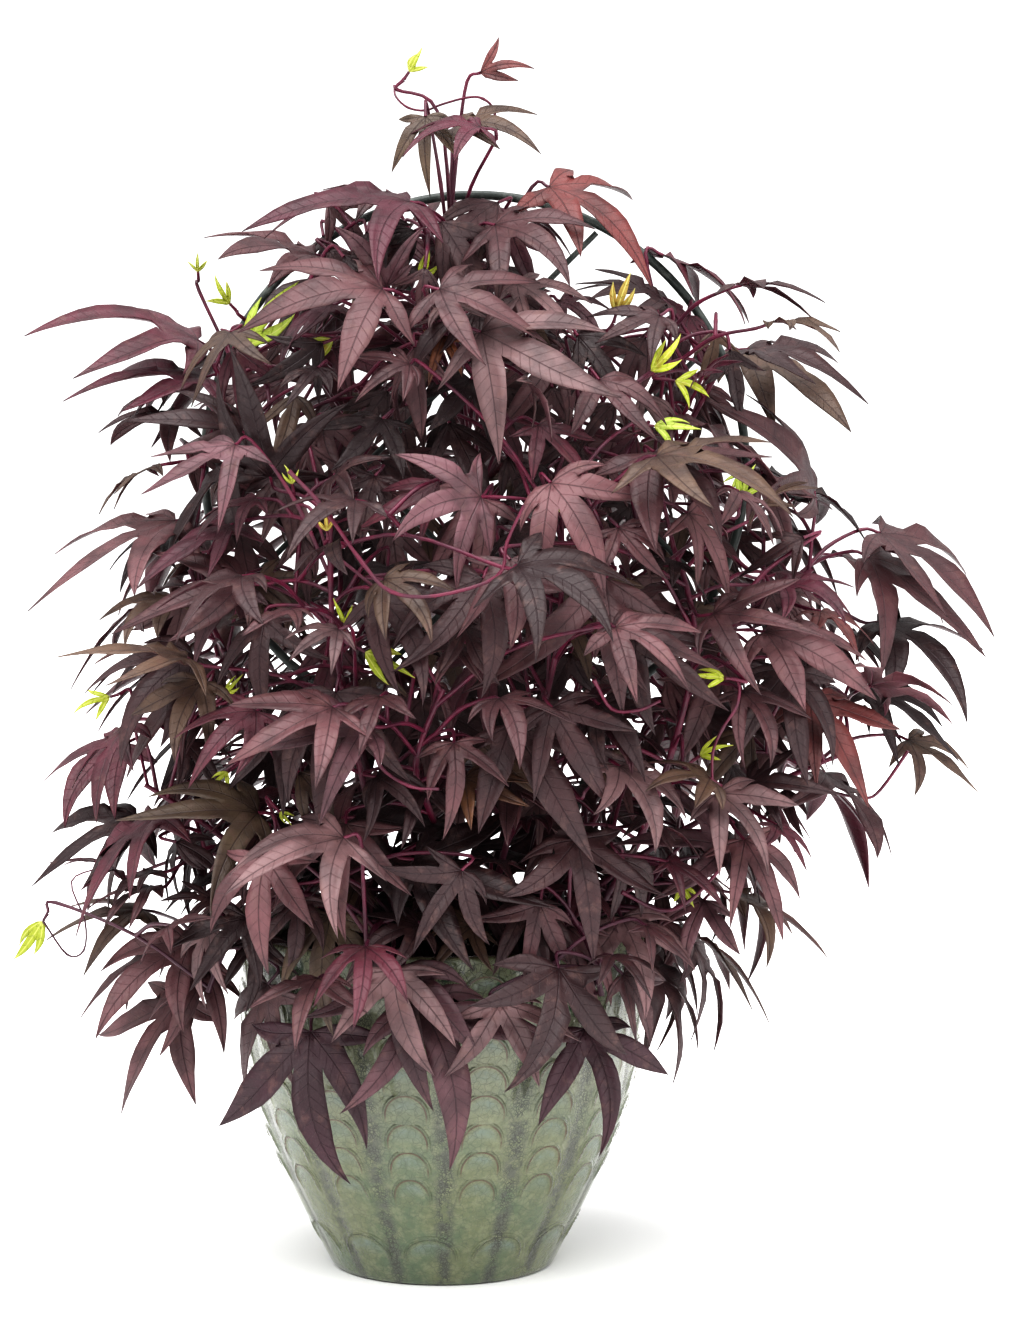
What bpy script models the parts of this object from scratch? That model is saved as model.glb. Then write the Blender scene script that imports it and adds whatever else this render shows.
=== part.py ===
"""A potted sweet potato vine trained on a round wire trellis.

Metres, +Z up. The origin is the middle of the pot's flat base, and -Y is the front.
"""

import math
import random

import bmesh
import bpy
from mathutils import Vector
from mathutils.bvhtree import BVHTree

# The glazed pot: (radius, height) down its outer side, rim to foot.
POT_OUTSIDE = (
    (0.1345, 0.2280),
    (0.1360, 0.2240),
    (0.1368, 0.1980),
    (0.1358, 0.1690),
    (0.1285, 0.1220),
    (0.1117, 0.0740),
    (0.0878, 0.0250),
    (0.0776, 0.0050),
    (0.0730, 0.0000),
)
POT_INSIDE = (
    (0.0700, 0.0140),
    (0.0790, 0.0280),
    (0.1020, 0.0760),
    (0.1190, 0.1240),
    (0.1262, 0.1690),
    (0.1272, 0.2240),
    (0.1290, 0.2280),
)
POT_SIDES = 40
DRAIN_RADIUS = 0.006
DRAIN_RING = 0.036
DRAIN_COUNT = 3

# Potting soil, a loose fit in the pot.
FIT_GAP = 0.0005
SOIL_LEVEL = 0.2000
SOIL_CROWN = 0.0040
STEM_DEPTH = 0.030
LEG_DEPTH = 0.110
HOLE_SIDES = 6

# The trellis: a round hoop of coated steel on two legs, with a diamond lattice of thinner rods.
HOOP_CENTRE = Vector((0.022, 0.020, 0.536))
HOOP_RADIUS = 0.182
HOOP_TUBE = 0.0030
HOOP_ARC_END = math.radians(148)
LEG_SPREAD = 0.060
ROD_TUBE = 0.0020
ROD_OFFSET = 0.293 * HOOP_RADIUS
ROD_LAYER = ROD_TUBE + 0.0002

# The viewpoint that the leaves' places were read from, for a picture 1024 wide and 1319 high.
EYE_DISTANCE = 2.5
EYE_TARGET = Vector((0.0469, 0.0, 0.408))
EYE_TILT = math.radians(4.6)
PICTURE_CENTRE = (512.0, 659.5)
PIXELS_PER_TANGENT = EYE_DISTANCE / 0.00067

# The crown of leaves: (height, half width, middle in X) of the surface where most blades start.
CROWN = (
    (0.150, 0.110, -0.010),
    (0.175, 0.156, -0.017),
    (0.300, 0.230, 0.020),
    (0.450, 0.240, 0.045),
    (0.600, 0.187, 0.025),
    (0.680, 0.100, 0.015),
    (0.770, 0.030, 0.005),
)
CROWN_DEPTH_SHARE = 0.80
PORTRAIT_SINK = 0.92

# Stems and leaf stalks.
STEM_RADIUS = 0.0028
STEM_TIP_RADIUS = 0.0017
STALK_RADIUS = 0.0013
STALK_REACH = 0.150
JOINT_SPACING = 0.009
RUNNER_RADIUS = 0.0012
CLEARANCE = 0.0009

# A blade's lobes: (angle, length, half width), for a main lobe of length 1. The middle lobe has
# a rib, and a lobe with no width of its own is a plain point between its two notches.
BLADE_THICKNESS = 0.0008
SINUS_SHARE = 0.24
LOBES = (
    (math.radians(-88), 0.46, 0.0),
    (math.radians(-43), 0.84, 0.098),
    (0.0, 1.00, 0.118),
    (math.radians(43), 0.84, 0.098),
    (math.radians(88), 0.46, 0.0),
)
YOUNG_LOBES = (
    (math.radians(-34), 0.72, 0.0),
    (0.0, 1.00, 0.085),
    (math.radians(34), 0.72, 0.0),
)
WIDEST = 0.50
LOBE_RISE = 0.16
LOBE_DROOP = 0.34
RIB_FOLD = 0.30

PURPLE = (0.075, 0.035, 0.050)
LIME = (0.420, 0.480, 0.060)
GLAZE = (0.230, 0.290, 0.190)
EARTH = (0.030, 0.020, 0.013)
COATED_STEEL = (0.045, 0.055, 0.050)

# Each vine: (x, y, z) points of its stem in millimetres, from where it leaves the soil.
VINES = {
    "vine_crown": ((8, 34, 200), (10, 36, 330), (26, 32, 470), (12, 2, 590), (6, 6, 680), (8, 2, 748)),
    "vine_upper_left": ((-24, 2, 200), (-52, 0, 340), (-92, 2, 470), (-132, -14, 560), (-150, -24, 606)),
    "vine_upper_right": ((50, 30, 200), (76, 8, 340), (122, 0, 470), (162, -12, 560), (186, -22, 606)),
    "vine_right_reach": ((66, 2, 200), (116, -14, 330), (184, -22, 424), (246, -24, 470)),
    "vine_right_low": ((58, -34, 200), (122, -50, 276), (200, -58, 322), (262, -44, 348)),
    "vine_left_mid": ((-52, -2, 200), (-100, -10, 320), (-146, -26, 420), (-166, -28, 470)),
    "vine_left_low": ((-54, -34, 200), (-110, -50, 268), (-166, -58, 312), (-194, -56, 330)),
    "vine_left_skirt": ((-38, -62, 200), (-84, -92, 262), (-128, -104, 246), (-150, -100, 200)),
    "vine_front_left": ((-26, -36, 200), (-46, -88, 320), (-66, -128, 430), (-68, -132, 512)),
    "vine_front_right": ((24, -38, 200), (50, -92, 320), (76, -132, 430), (78, -130, 520)),
    "vine_front_middle": ((-2, -52, 200), (0, -108, 300), (-14, -146, 352), (4, -156, 402)),
    "vine_skirt_left": ((-14, -80, 200), (-30, -118, 252), (-44, -148, 240), (-50, -158, 196)),
    "vine_skirt_right": ((34, -76, 200), (62, -110, 254), (92, -134, 246), (104, -138, 204)),
    "vine_right_shoulder": ((82, -50, 200), (130, -92, 300), (164, -108, 420), (150, -98, 490)),
    "vine_back_left": ((-44, 44, 200), (-92, 84, 300), (-136, 112, 360), (-160, 116, 372)),
    "vine_back_low": ((-12, 78, 200), (-24, 128, 262), (-30, 160, 252), (-30, 172, 214)),
    "vine_back_right": ((46, 66, 200), (104, 104, 300), (166, 122, 356), (196, 120, 366)),
    "vine_back_middle": ((-16, 52, 200), (-24, 98, 340), (-20, 142, 440), (-14, 140, 500)),
    "vine_back_upper": ((24, 56, 200), (62, 78, 360), (92, 106, 480), (92, 96, 560)),
    "vine_back_high": ((-30, 66, 200), (-66, 70, 380), (-70, 84, 500), (-56, 66, 590)),
}

# Leaves read off the picture: (hub, tip of the main lobe) in its pixels, main lobe in millimetres,
# and how far the blade turns from the sky (0) to the viewer (1).
PORTRAIT_LEAVES = (
    ((480, 73), (541, 50), 46, 0.8),
    ((459, 125), (541, 120), 62, 0.4),
    ((481, 131), (402, 124), 56, 0.3),
    ((426, 118), (427, 182), 48, 0.9),
    ((495, 225), (592, 260), 78, 0.6),
    ((410, 202), (256, 206), 108, 0.3),
    ((386, 286), (352, 224), 52, 0.9),
    ((378, 193), (312, 180), 50, 0.3),
    ((549, 187), (674, 230), 92, 0.5),
    ((315, 255), (200, 240), 85, 0.4),
    ((384, 290), (245, 303), 100, 0.5),
    ((481, 332), (611, 396), 105, 0.7),
    ((440, 290), (548, 321), 80, 0.5),
    ((662, 299), (594, 278), 60, 0.4),
    ((679, 299), (797, 357), 92, 0.35),
    ((749, 349), (861, 363), 85, 0.3),
    ((749, 352), (859, 422), 100, 0.25),
    ((814, 492), (751, 376), 98, 0.5),
    ((654, 452), (730, 520), 98, 0.7),
    ((197, 340), (44, 290), 112, 0.35),
    ((202, 377), (73, 382), 92, 0.3),
    ((178, 415), (95, 433), 66, 0.4),
    ((242, 432), (150, 396), 72, 0.6),
    ((271, 476), (249, 362), 84, 0.9),
    ((176, 521), (36, 575), 108, 0.3),
    ((231, 525), (153, 582), 72, 0.25),
    ((243, 583), (121, 602), 86, 0.6),
    ((194, 656), (98, 725), 86, 0.7),
    ((265, 620), (256, 699), 60, 0.9),
    ((126, 743), (36, 802), 80, 0.6),
    ((137, 818), (22, 865), 88, 0.5),
    ((258, 813), (128, 811), 92, 0.6),
    ((142, 910), (38, 918), 76, 0.3),
    ((190, 944), (89, 1003), 84, 0.6),
    ((182, 998), (111, 1103), 90, 0.7),
    ((880, 533), (1016, 607), 106, 0.35),
    ((869, 558), (981, 649), 100, 0.4),
    ((878, 623), (1003, 672), 96, 0.35),
    ((867, 688), (955, 741), 74, 0.45),
    ((908, 740), (981, 786), 60, 0.5),
    ((713, 614), (813, 630), 76, 0.6),
    ((765, 632), (880, 680), 88, 0.5),
    ((787, 671), (798, 777), 80, 0.8),
    ((810, 700), (880, 786), 80, 0.6),
    ((748, 784), (828, 773), 58, 0.6),
    ((726, 846), (622, 824), 78, 0.7),
    ((743, 837), (786, 917), 66, 0.6),
    ((704, 900), (674, 960), 50, 0.5),
    ((481, 497), (379, 509), 74, 0.9),
    ((377, 595), (462, 664), 80, 0.7),
    ((483, 579), (426, 679), 84, 0.8),
    ((551, 483), (627, 565), 82, 0.9),
    ((606, 579), (510, 685), 102, 0.8),
    ((517, 561), (635, 583), 84, 0.5),
    ((636, 638), (708, 701), 72, 0.7),
    ((346, 824), (329, 929), 78, 0.9),
    ((336, 692), (324, 819), 90, 0.9),
    ((368, 721), (261, 732), 78, 0.6),
    ((282, 728), (282, 808), 60, 0.9),
    ((454, 743), (465, 811), 54, 0.8),
    ((577, 840), (600, 945), 80, 0.9),
    ((552, 708), (606, 788), 72, 0.9),
    ((511, 726), (585, 834), 94, 0.8),
    ((414, 861), (547, 907), 94, 0.6),
    ((422, 993), (491, 1119), 102, 0.7),
    ((405, 958), (397, 1089), 94, 0.9),
    ((331, 916), (310, 1015), 74, 0.9),
    ((315, 1018), (307, 1165), 104, 0.8),
    ((584, 1015), (625, 1119), 80, 0.8),
    ((567, 927), (581, 1019), 68, 0.8),
    ((622, 919), (660, 1010), 74, 0.8),
)

# The portrait leaves that have three lobes, by their hubs.
THREE_LOBED = ((480, 73),)

# Leaves out of the viewpoint's sight follow a spiral round the crown's sides and back.
HIDDEN_LEAVES = 52
HIDDEN_LOW = 0.190
HIDDEN_HIGH = 0.660
HIDDEN_REACH = (0.074, 0.100)
HIDDEN_ARC = (math.radians(-28), math.radians(208))
GOLDEN_ANGLE = math.radians(137.508)
SEED = 23

# Young shoots: (hub, tip) in the picture's pixels, main lobe in millimetres, depth in millimetres.
YOUNG_SHOOTS = {
    "shoot_top": ((409, 72), (430, 41), 24, -4),
    "shoot_left_high": ((246, 346), (293, 283), 52, -40),
    "shoot_left_inner": ((333, 340), (304, 353), 24, -60),
    "shoot_right_high": ((616, 314), (629, 269), 30, -60),
    "shoot_right_star": ((651, 371), (677, 350), 30, -90),
    "shoot_right_fork": ((675, 381), (714, 388), 28, -70),
    "shoot_right_lower": ((654, 426), (698, 430), 32, -110),
    "shoot_left_edge": ((110, 697), (74, 708), 26, -30),
    "shoot_middle": ((365, 652), (413, 679), 34, -170),
    "shoot_corner": ((43, 921), (15, 967), 34, -50),
    "shoot_right_loop": ((725, 678), (693, 674), 22, -150),
}


def clear_scene():
    for item in list(bpy.data.objects):
        bpy.data.objects.remove(item)


def material(name, colour, roughness, metallic=0.0):
    made = bpy.data.materials.new(name)
    made.use_nodes = True
    shader = made.node_tree.nodes["Principled BSDF"]
    shader.inputs["Base Color"].default_value = (*colour, 1.0)
    shader.inputs["Roughness"].default_value = roughness
    shader.inputs["Metallic"].default_value = metallic
    return made


def new_collection(name):
    made = bpy.data.collections.new(name)
    bpy.context.scene.collection.children.link(made)
    return made


def new_object(name, mesh, collection):
    made = bpy.data.objects.new(name, mesh)
    collection.objects.link(made)
    return made


def turned(name, profile, sides, collection):
    """A closed solid of revolution; the profile starts and ends on the axis."""
    mesh = bpy.data.meshes.new(name)
    points = [(radius, 0.0, height) for radius, height in profile]
    mesh.from_pydata(points, [(i, i + 1) for i in range(len(points) - 1)], [])
    made = new_object(name, mesh, collection)
    screw = made.modifiers.new("Turn", "SCREW")
    screw.steps = screw.render_steps = sides
    screw.use_merge_vertices = True
    screw.merge_threshold = 0.00005
    return made


def smooth_route(points, steps):
    """Points on a Catmull-Rom curve through the given ones, `steps` to each stretch."""
    padded = [points[0] * 2 - points[1], *points, points[-1] * 2 - points[-2]]
    route = []
    for a, b, c, d in zip(padded, padded[1:], padded[2:], padded[3:]):
        for step in range(steps):
            t = step / steps
            square = (2 * a - 5 * b + 4 * c - d) * t * t
            cube = (3 * b - a - 3 * c + d) * t**3
            route.append((2 * b + (c - a) * t + square + cube) / 2)
    return [*route, points[-1]]


def tube_mesh(name, points, radii, resolution):
    """A round bar along the points, as a closed mesh."""
    curve = bpy.data.curves.new(name, "CURVE")
    curve.dimensions = "3D"
    curve.bevel_depth = 1.0
    curve.bevel_resolution = resolution
    curve.use_fill_caps = True
    spline = curve.splines.new("POLY")
    spline.points.add(len(points) - 1)
    for place, point, radius in zip(spline.points, points, radii):
        place.co = (*point, 1.0)
        place.radius = radius
    guide = bpy.data.objects.new(name, curve)
    bpy.context.scene.collection.objects.link(guide)
    graph = bpy.context.evaluated_depsgraph_get()
    mesh = bpy.data.meshes.new_from_object(guide.evaluated_get(graph))
    bpy.data.objects.remove(guide)
    shape = bmesh.new()
    shape.from_mesh(mesh)
    bmesh.ops.remove_doubles(shape, verts=shape.verts, dist=0.00002)
    bmesh.ops.recalc_face_normals(shape, faces=shape.faces)
    bmesh.ops.triangulate(shape, faces=shape.faces)
    shape.to_mesh(mesh)
    shape.free()
    return mesh


def cylinder(name, radius, low, high, place, sides, collection):
    shape = bmesh.new()
    bmesh.ops.create_cone(
        shape, cap_ends=True, segments=sides, radius1=radius, radius2=radius, depth=high - low
    )
    mesh = bpy.data.meshes.new(name)
    shape.to_mesh(mesh)
    shape.free()
    made = new_object(name, mesh, collection)
    made.location = (place[0], place[1], (low + high) / 2)
    return made


def cut(target, cutters):
    """Takes every object of the collection out of the target."""
    for cutter in cutters.objects:
        cutter.hide_render = True
        cutter.display_type = "WIRE"
    boolean = target.modifiers.new("Cut", "BOOLEAN")
    boolean.operation = "DIFFERENCE"
    boolean.operand_type = "COLLECTION"
    boolean.collection = cutters


def make_pot(parts, glaze):
    profile = [(0.0, POT_INSIDE[0][1]), *POT_INSIDE, *POT_OUTSIDE, (0.0, 0.0)]
    pot = turned("pot", profile, POT_SIDES, parts)
    drains = new_collection("drain_cutters")
    for step in range(DRAIN_COUNT):
        angle = math.tau * (step + 0.5) / DRAIN_COUNT
        place = (DRAIN_RING * math.cos(angle), DRAIN_RING * math.sin(angle))
        cylinder(f"drain_cutter_{step}", DRAIN_RADIUS, -0.010, 0.030, place, 8, drains)
    cut(pot, drains)
    pot.data.materials.append(glaze)
    return [pot]


def soil_profile():
    """The soil follows the pot's inner wall, a gap away, up to its own level."""
    profile = [(0.0, SOIL_LEVEL + SOIL_CROWN), (0.060, SOIL_LEVEL + SOIL_CROWN * 0.8)]
    below = [point for point in POT_INSIDE if point[1] < SOIL_LEVEL]
    above = next(point for point in POT_INSIDE if point[1] >= SOIL_LEVEL)
    share = (SOIL_LEVEL - below[-1][1]) / (above[1] - below[-1][1])
    wall = below[-1][0] + (above[0] - below[-1][0]) * share
    profile.append((wall - FIT_GAP, SOIL_LEVEL))
    profile += [(radius - FIT_GAP, height + FIT_GAP) for radius, height in reversed(below)]
    return [*profile, (0.0, POT_INSIDE[0][1] + FIT_GAP)]


def make_soil(parts, earth, stem_feet, leg_feet):
    soil = turned("soil", soil_profile(), POT_SIDES, parts)
    holes = new_collection("soil_cutters")
    top = SOIL_LEVEL + 0.020
    for kind, feet, radius, depth in (
        ("stem", stem_feet, STEM_RADIUS, STEM_DEPTH),
        ("leg", leg_feet, HOOP_TUBE, LEG_DEPTH),
    ):
        hole_radius = (radius + CLEARANCE) / math.cos(math.pi / HOLE_SIDES)
        for step, foot in enumerate(feet):
            low = SOIL_LEVEL - depth - 0.002
            cylinder(f"{kind}_hole_{step}", hole_radius, low, top, foot, HOLE_SIDES, holes)
    cut(soil, holes)
    soil.data.materials.append(earth)
    return [soil]


def hoop_point(angle):
    """A point on the hoop, `angle` from its top towards +X."""
    return HOOP_CENTRE + HOOP_RADIUS * Vector((math.sin(angle), 0.0, math.cos(angle)))


def leg_feet():
    return [(HOOP_CENTRE.x + side * LEG_SPREAD, HOOP_CENTRE.y) for side in (-1, 1)]


def hoop_route():
    """Up one leg, round the hoop and down the other leg."""
    arc_steps = 26
    arc = [hoop_point(HOOP_ARC_END * (2 * step / arc_steps - 1)) for step in range(arc_steps + 1)]
    feet = [Vector((x, y, SOIL_LEVEL - LEG_DEPTH)) for x, y in leg_feet()]
    knees = [Vector((foot.x, foot.y, SOIL_LEVEL + 0.075)) for foot in feet]
    ankles = [Vector((foot.x, foot.y, SOIL_LEVEL + 0.020)) for foot in feet]
    left = smooth_route([ankles[0], knees[0], arc[0], arc[1]], 3)[:-4]
    right = smooth_route([arc[-2], arc[-1], knees[1], ankles[1]], 3)[4:]
    return [feet[0], *left, *arc, *right, feet[1]]


def lattice_rods():
    """Two rods each way; each runs between two points just inside the hoop."""
    rods = {}
    half = math.sqrt((HOOP_RADIUS - HOOP_TUBE) ** 2 - ROD_OFFSET**2) - 0.0022
    for way, lean, layer in (("left", -1, -ROD_LAYER), ("right", 1, ROD_LAYER)):
        along = Vector((lean, 0.0, 1.0)).normalized()
        across = Vector((1.0, 0.0, -lean)).normalized()
        for place, offset in (("low", -ROD_OFFSET * lean), ("high", ROD_OFFSET * lean)):
            middle = HOOP_CENTRE + across * offset + Vector((0.0, layer, 0.0))
            rods[f"trellis_rod_{way}_{place}"] = (middle - along * half, middle + along * half)
    return rods


def make_trellis(parts, steel):
    route = hoop_route()
    made = [("trellis_hoop", route, HOOP_TUBE, 1)]
    made += [(name, ends, ROD_TUBE, 1) for name, ends in lattice_rods().items()]
    objects = []
    for name, points, radius, resolution in made:
        mesh = tube_mesh(name, points, [radius] * len(points), resolution)
        mesh.materials.append(steel)
        objects.append(new_object(name, mesh, parts))
    return objects


def crown_at(height):
    """(half width, middle) of the crown of leaves at a height."""
    for low, high in zip(CROWN, CROWN[1:]):
        if height <= high[0] or high is CROWN[-1]:
            share = min(1.0, max(0.0, (height - low[0]) / (high[0] - low[0])))
            return tuple(a + (b - a) * share for a, b in zip(low[1:], high[1:]))


def sight(pixel):
    """The eye, and the direction in which it sees a pixel, scaled to 1 along its axis."""
    tilt_sin, tilt_cos = math.sin(EYE_TILT), math.cos(EYE_TILT)
    forward = Vector((0.0, tilt_cos, -tilt_sin))
    upward = Vector((0.0, tilt_sin, tilt_cos))
    right = (pixel[0] - PICTURE_CENTRE[0]) / PIXELS_PER_TANGENT
    up = (PICTURE_CENTRE[1] - pixel[1]) / PIXELS_PER_TANGENT
    return EYE_TARGET - forward * EYE_DISTANCE, forward + upward * up + Vector((right, 0.0, 0.0))


def seen_at(pixel, depth):
    """The point that a pixel shows, at a given Y."""
    eye, ray = sight(pixel)
    return eye + ray * ((depth - eye.y) / ray.y)


def front_depth(pixel):
    """The Y of the crown's front surface behind a pixel."""
    point = seen_at(pixel, 0.0)
    half, middle = crown_at(point.z)
    inside = max(0.0, half**2 - (point.x - middle) ** 2)
    return -CROWN_DEPTH_SHARE * math.sqrt(inside) * PORTRAIT_SINK


class Leaf:
    """A blade's place: its hub, the way its main lobe points, the way it faces, and its size."""

    def __init__(self, hub, along, facing, length, lobes=LOBES):
        self.hub = hub
        self.along = along.normalized()
        self.facing = (facing - self.along * facing.dot(self.along)).normalized()
        self.side = self.facing.cross(self.along)
        self.length = length
        self.lobes = lobes

    def moved(self, offset):
        return Leaf(self.hub + offset, self.along, self.facing, self.length, self.lobes)

    def point(self, angle, reach, share, across, fold):
        """A point of a lobe: `share` of the way out, `across` to its side."""
        out = math.cos(angle) * self.along + math.sin(angle) * self.side
        aside = math.cos(angle) * self.side - math.sin(angle) * self.along
        lift = reach * (LOBE_RISE * share - LOBE_DROOP * share * share) + fold
        return self.hub + out * (reach * share) + aside * across + self.facing * lift


def blade_surface(leaf):
    """A lobed sheet: a fan of lobes round the hub, split by notches. Its faces look along facing."""
    points = [leaf.hub]
    faces = []
    angles = [lobe[0] for lobe in leaf.lobes]
    margin = math.radians(24)
    edges = [angles[0] - margin]
    edges += [(a + b) / 2 for a, b in zip(angles, angles[1:])]
    edges += [angles[-1] + margin]
    for angle in edges:
        reach = leaf.length * SINUS_SHARE * (0.5 if angle in (edges[0], edges[-1]) else 1.0)
        points.append(leaf.point(angle, reach, 1.0, 0.0, reach * 0.2))
    for place, (angle, share, width) in enumerate(leaf.lobes):
        reach = leaf.length * share
        half = leaf.length * width
        left_notch, right_notch = 1 + place, 2 + place
        tip = len(points)
        left, right, rib = tip + 1, tip + 2, tip + 3
        points.append(leaf.point(angle, reach, 1.0, 0.0, 0.0))
        if not half:
            faces += [(0, left_notch, right_notch), (left_notch, tip, right_notch)]
            continue
        points.append(leaf.point(angle, reach, WIDEST, -half, half * RIB_FOLD))
        points.append(leaf.point(angle, reach, WIDEST, half, half * RIB_FOLD))
        faces += [(0, left_notch, left), (0, right, right_notch)]
        if angle:
            faces += [(0, left, right), (left, tip, right)]
        else:
            points.append(leaf.point(angle, reach, WIDEST, 0.0, 0.0))
            faces += [(0, left, rib), (0, rib, right), (left, tip, rib), (rib, tip, right)]
            middle_rib = rib
    return points, faces, middle_rib


def stalk_rings(leaf, route, radius):
    """Three-cornered rings along a stalk, each turned as little as may be from the one at the hub."""
    upward = leaf.facing
    heading = leaf.along
    rings = []
    for place in range(len(route) - 1, -1, -1):
        if place < len(route) - 1:
            onward = (route[place + 1] - route[max(0, place - 1)]).normalized()
            turn = heading.rotation_difference(onward)
            upward = turn @ upward
            heading = onward
        sideways = upward.cross(heading)
        crest = route[place] + upward * radius
        below = route[place] - upward * radius * 0.6
        rings.append([crest, below - sideways * radius, below + sideways * radius])
    return rings


def leaf_mesh(name, leaf, thickness, stalk, radius):
    """One body: the lobed sheet with its thickness, and the stalk that its hub grows out of."""
    points, faces, rib = blade_surface(leaf)
    normals = [Vector() for _ in points]
    for face in faces:
        a, b, c = (points[i] for i in face)
        for i in face:
            normals[i] += (b - a).cross(c - a)
    shape = bmesh.new()
    lifts = [normal.normalized() * (thickness / 2) for normal in normals]
    over = [shape.verts.new(point + lift) for point, lift in zip(points, lifts)]
    under = [shape.verts.new(point - lift) for point, lift in zip(points, lifts)]
    rings = [[shape.verts.new(corner) for corner in ring] for ring in stalk_rings(leaf, stalk, radius)]
    hub_top, hub_left, hub_right = rings[0]
    over[0], spare_top = hub_top, over[0]
    bmesh.ops.delete(shape, geom=[spare_top, under[0]], context="VERTS")
    borders = {(face[i], face[(i + 1) % 3]) for face in faces for i in range(3)}
    for face in faces:
        aside = sum((points[i] - leaf.hub).dot(leaf.side) for i in face)
        under[0] = hub_left if aside < 0 else hub_right
        shape.faces.new([over[i] for i in face])
        shape.faces.new([under[i] for i in reversed(face)])
        for a, b in zip(face, (*face[1:], face[0])):
            if (b, a) not in borders:
                shape.faces.new([over[a], under[a], under[b], over[b]])
    shape.faces.new([hub_left, under[rib], hub_right])
    for near, far in zip(rings, rings[1:]):
        for i in range(3):
            shape.faces.new([near[i], near[(i + 1) % 3], far[(i + 1) % 3], far[i]])
    shape.faces.new(rings[-1])
    bmesh.ops.recalc_face_normals(shape, faces=shape.faces)
    bmesh.ops.triangulate(shape, faces=shape.faces)
    mesh = bpy.data.meshes.new(name)
    shape.to_mesh(mesh)
    shape.free()
    return mesh


class Obstacle:
    """A finished piece, with the box and the tree that show what comes near it."""

    def __init__(self, owner, kind, mesh):
        points = [vertex.co.copy() for vertex in mesh.vertices]
        self.owner = owner
        self.kind = kind
        self.low = Vector(min(p[i] for p in points) for i in range(3))
        self.high = Vector(max(p[i] for p in points) for i in range(3))
        self.tree = BVHTree.FromPolygons(points, [tuple(f.vertices) for f in mesh.polygons])

    def near(self, low, high):
        return all(self.low[i] < high[i] and self.high[i] > low[i] for i in range(3))


class Plant:
    """Everything grown or standing so far, so that the next piece can be bent clear of it."""

    def __init__(self):
        self.obstacles = []
        self.pieces = {}

    def keep_off(self, objects):
        """Has what grows later stay clear of these objects."""
        graph = bpy.context.evaluated_depsgraph_get()
        for item in objects:
            mesh = bpy.data.meshes.new_from_object(item.evaluated_get(graph))
            mesh.transform(item.matrix_world)
            self.obstacles.append(Obstacle(item.name, "solid", mesh))

    def add(self, owner, kind, mesh):
        self.obstacles.append(Obstacle(owner, kind, mesh))
        self.pieces.setdefault(owner, []).append(mesh)

    def blade_is_clear(self, mesh, owner):
        """No other leaf crosses it, and no stem of another vine does."""
        test = Obstacle(owner, "leaf", mesh)
        for other in self.obstacles:
            own_stem = other.owner == owner and other.kind == "stem"
            if not own_stem and other.near(test.low, test.high) and test.tree.overlap(other.tree):
                return False
        return True

    def route_is_clear(self, points, radius, owner):
        """No piece of another vine, and no leaf of its own, comes within reach of a tube."""
        margin = radius + CLEARANCE
        samples = []
        for a, b in zip(points, points[1:]):
            steps = max(1, int((b - a).length / 0.0025))
            samples += [a.lerp(b, step / steps) for step in range(steps + 1)]
        low = Vector(min(p[i] for p in samples) - margin for i in range(3))
        high = Vector(max(p[i] for p in samples) + margin for i in range(3))
        for other in self.obstacles:
            if (other.owner == owner and other.kind == "stem") or not other.near(low, high):
                continue
            if any(other.tree.find_nearest(sample, margin)[0] for sample in samples):
                return False
        return True


def vine_route(points):
    """A vine's stem from its foot in the soil, in metres."""
    above = [Vector(point) / 1000 for point in points]
    foot = above[0] - Vector((0.0, 0.0, STEM_DEPTH))
    rise = above[0] + Vector((0.0, 0.0, 0.018))
    return [foot, *smooth_route([rise, *above[1:]], 2)]


class Joint:
    """A place on a stem where one leaf's stalk may start."""

    def __init__(self, owner, point):
        self.owner = owner
        self.point = point
        self.free = True


def grow_stems(plant):
    """Grows the stems, and returns the joints along them."""
    joints = []
    for name, points in VINES.items():
        route = vine_route(points)
        last = len(route) - 1
        radii = [STEM_RADIUS + (STEM_TIP_RADIUS - STEM_RADIUS) * i / last for i in range(last + 1)]
        if not plant.route_is_clear(route, STEM_RADIUS, name):
            print(f"{name} runs into another piece")
        plant.add(name, "stem", tube_mesh(f"{name}_stem", route, radii, 1))
        for a, b in zip(route[1:], route[2:]):
            steps = max(1, round((b - a).length / JOINT_SPACING))
            joints += [Joint(name, a.lerp(b, (step + 0.7) / steps)) for step in range(steps)]
    return joints


def nearest_joints(joints, hub):
    """The free joints that a leaf's stalk could start from, nearest first."""
    found = []
    for joint in joints:
        reach = (hub - joint.point).length
        if joint.free and 0.022 < reach < STALK_REACH:
            found.append((reach + max(0.0, joint.point.z - hub.z), joint))
    return [joint for reach, joint in sorted(found, key=lambda entry: entry[0])]


def stalk_route(start, leaf):
    """The stalk leaves its stem rising, and comes to the blade's hub from behind."""
    back = leaf.hub - leaf.along * 0.012 - leaf.facing * 0.004
    bend = start.lerp(back, 0.45) + Vector((0.0, 0.0, 0.10 * (back - start).length))
    return [start, bend, back, leaf.hub]


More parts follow.
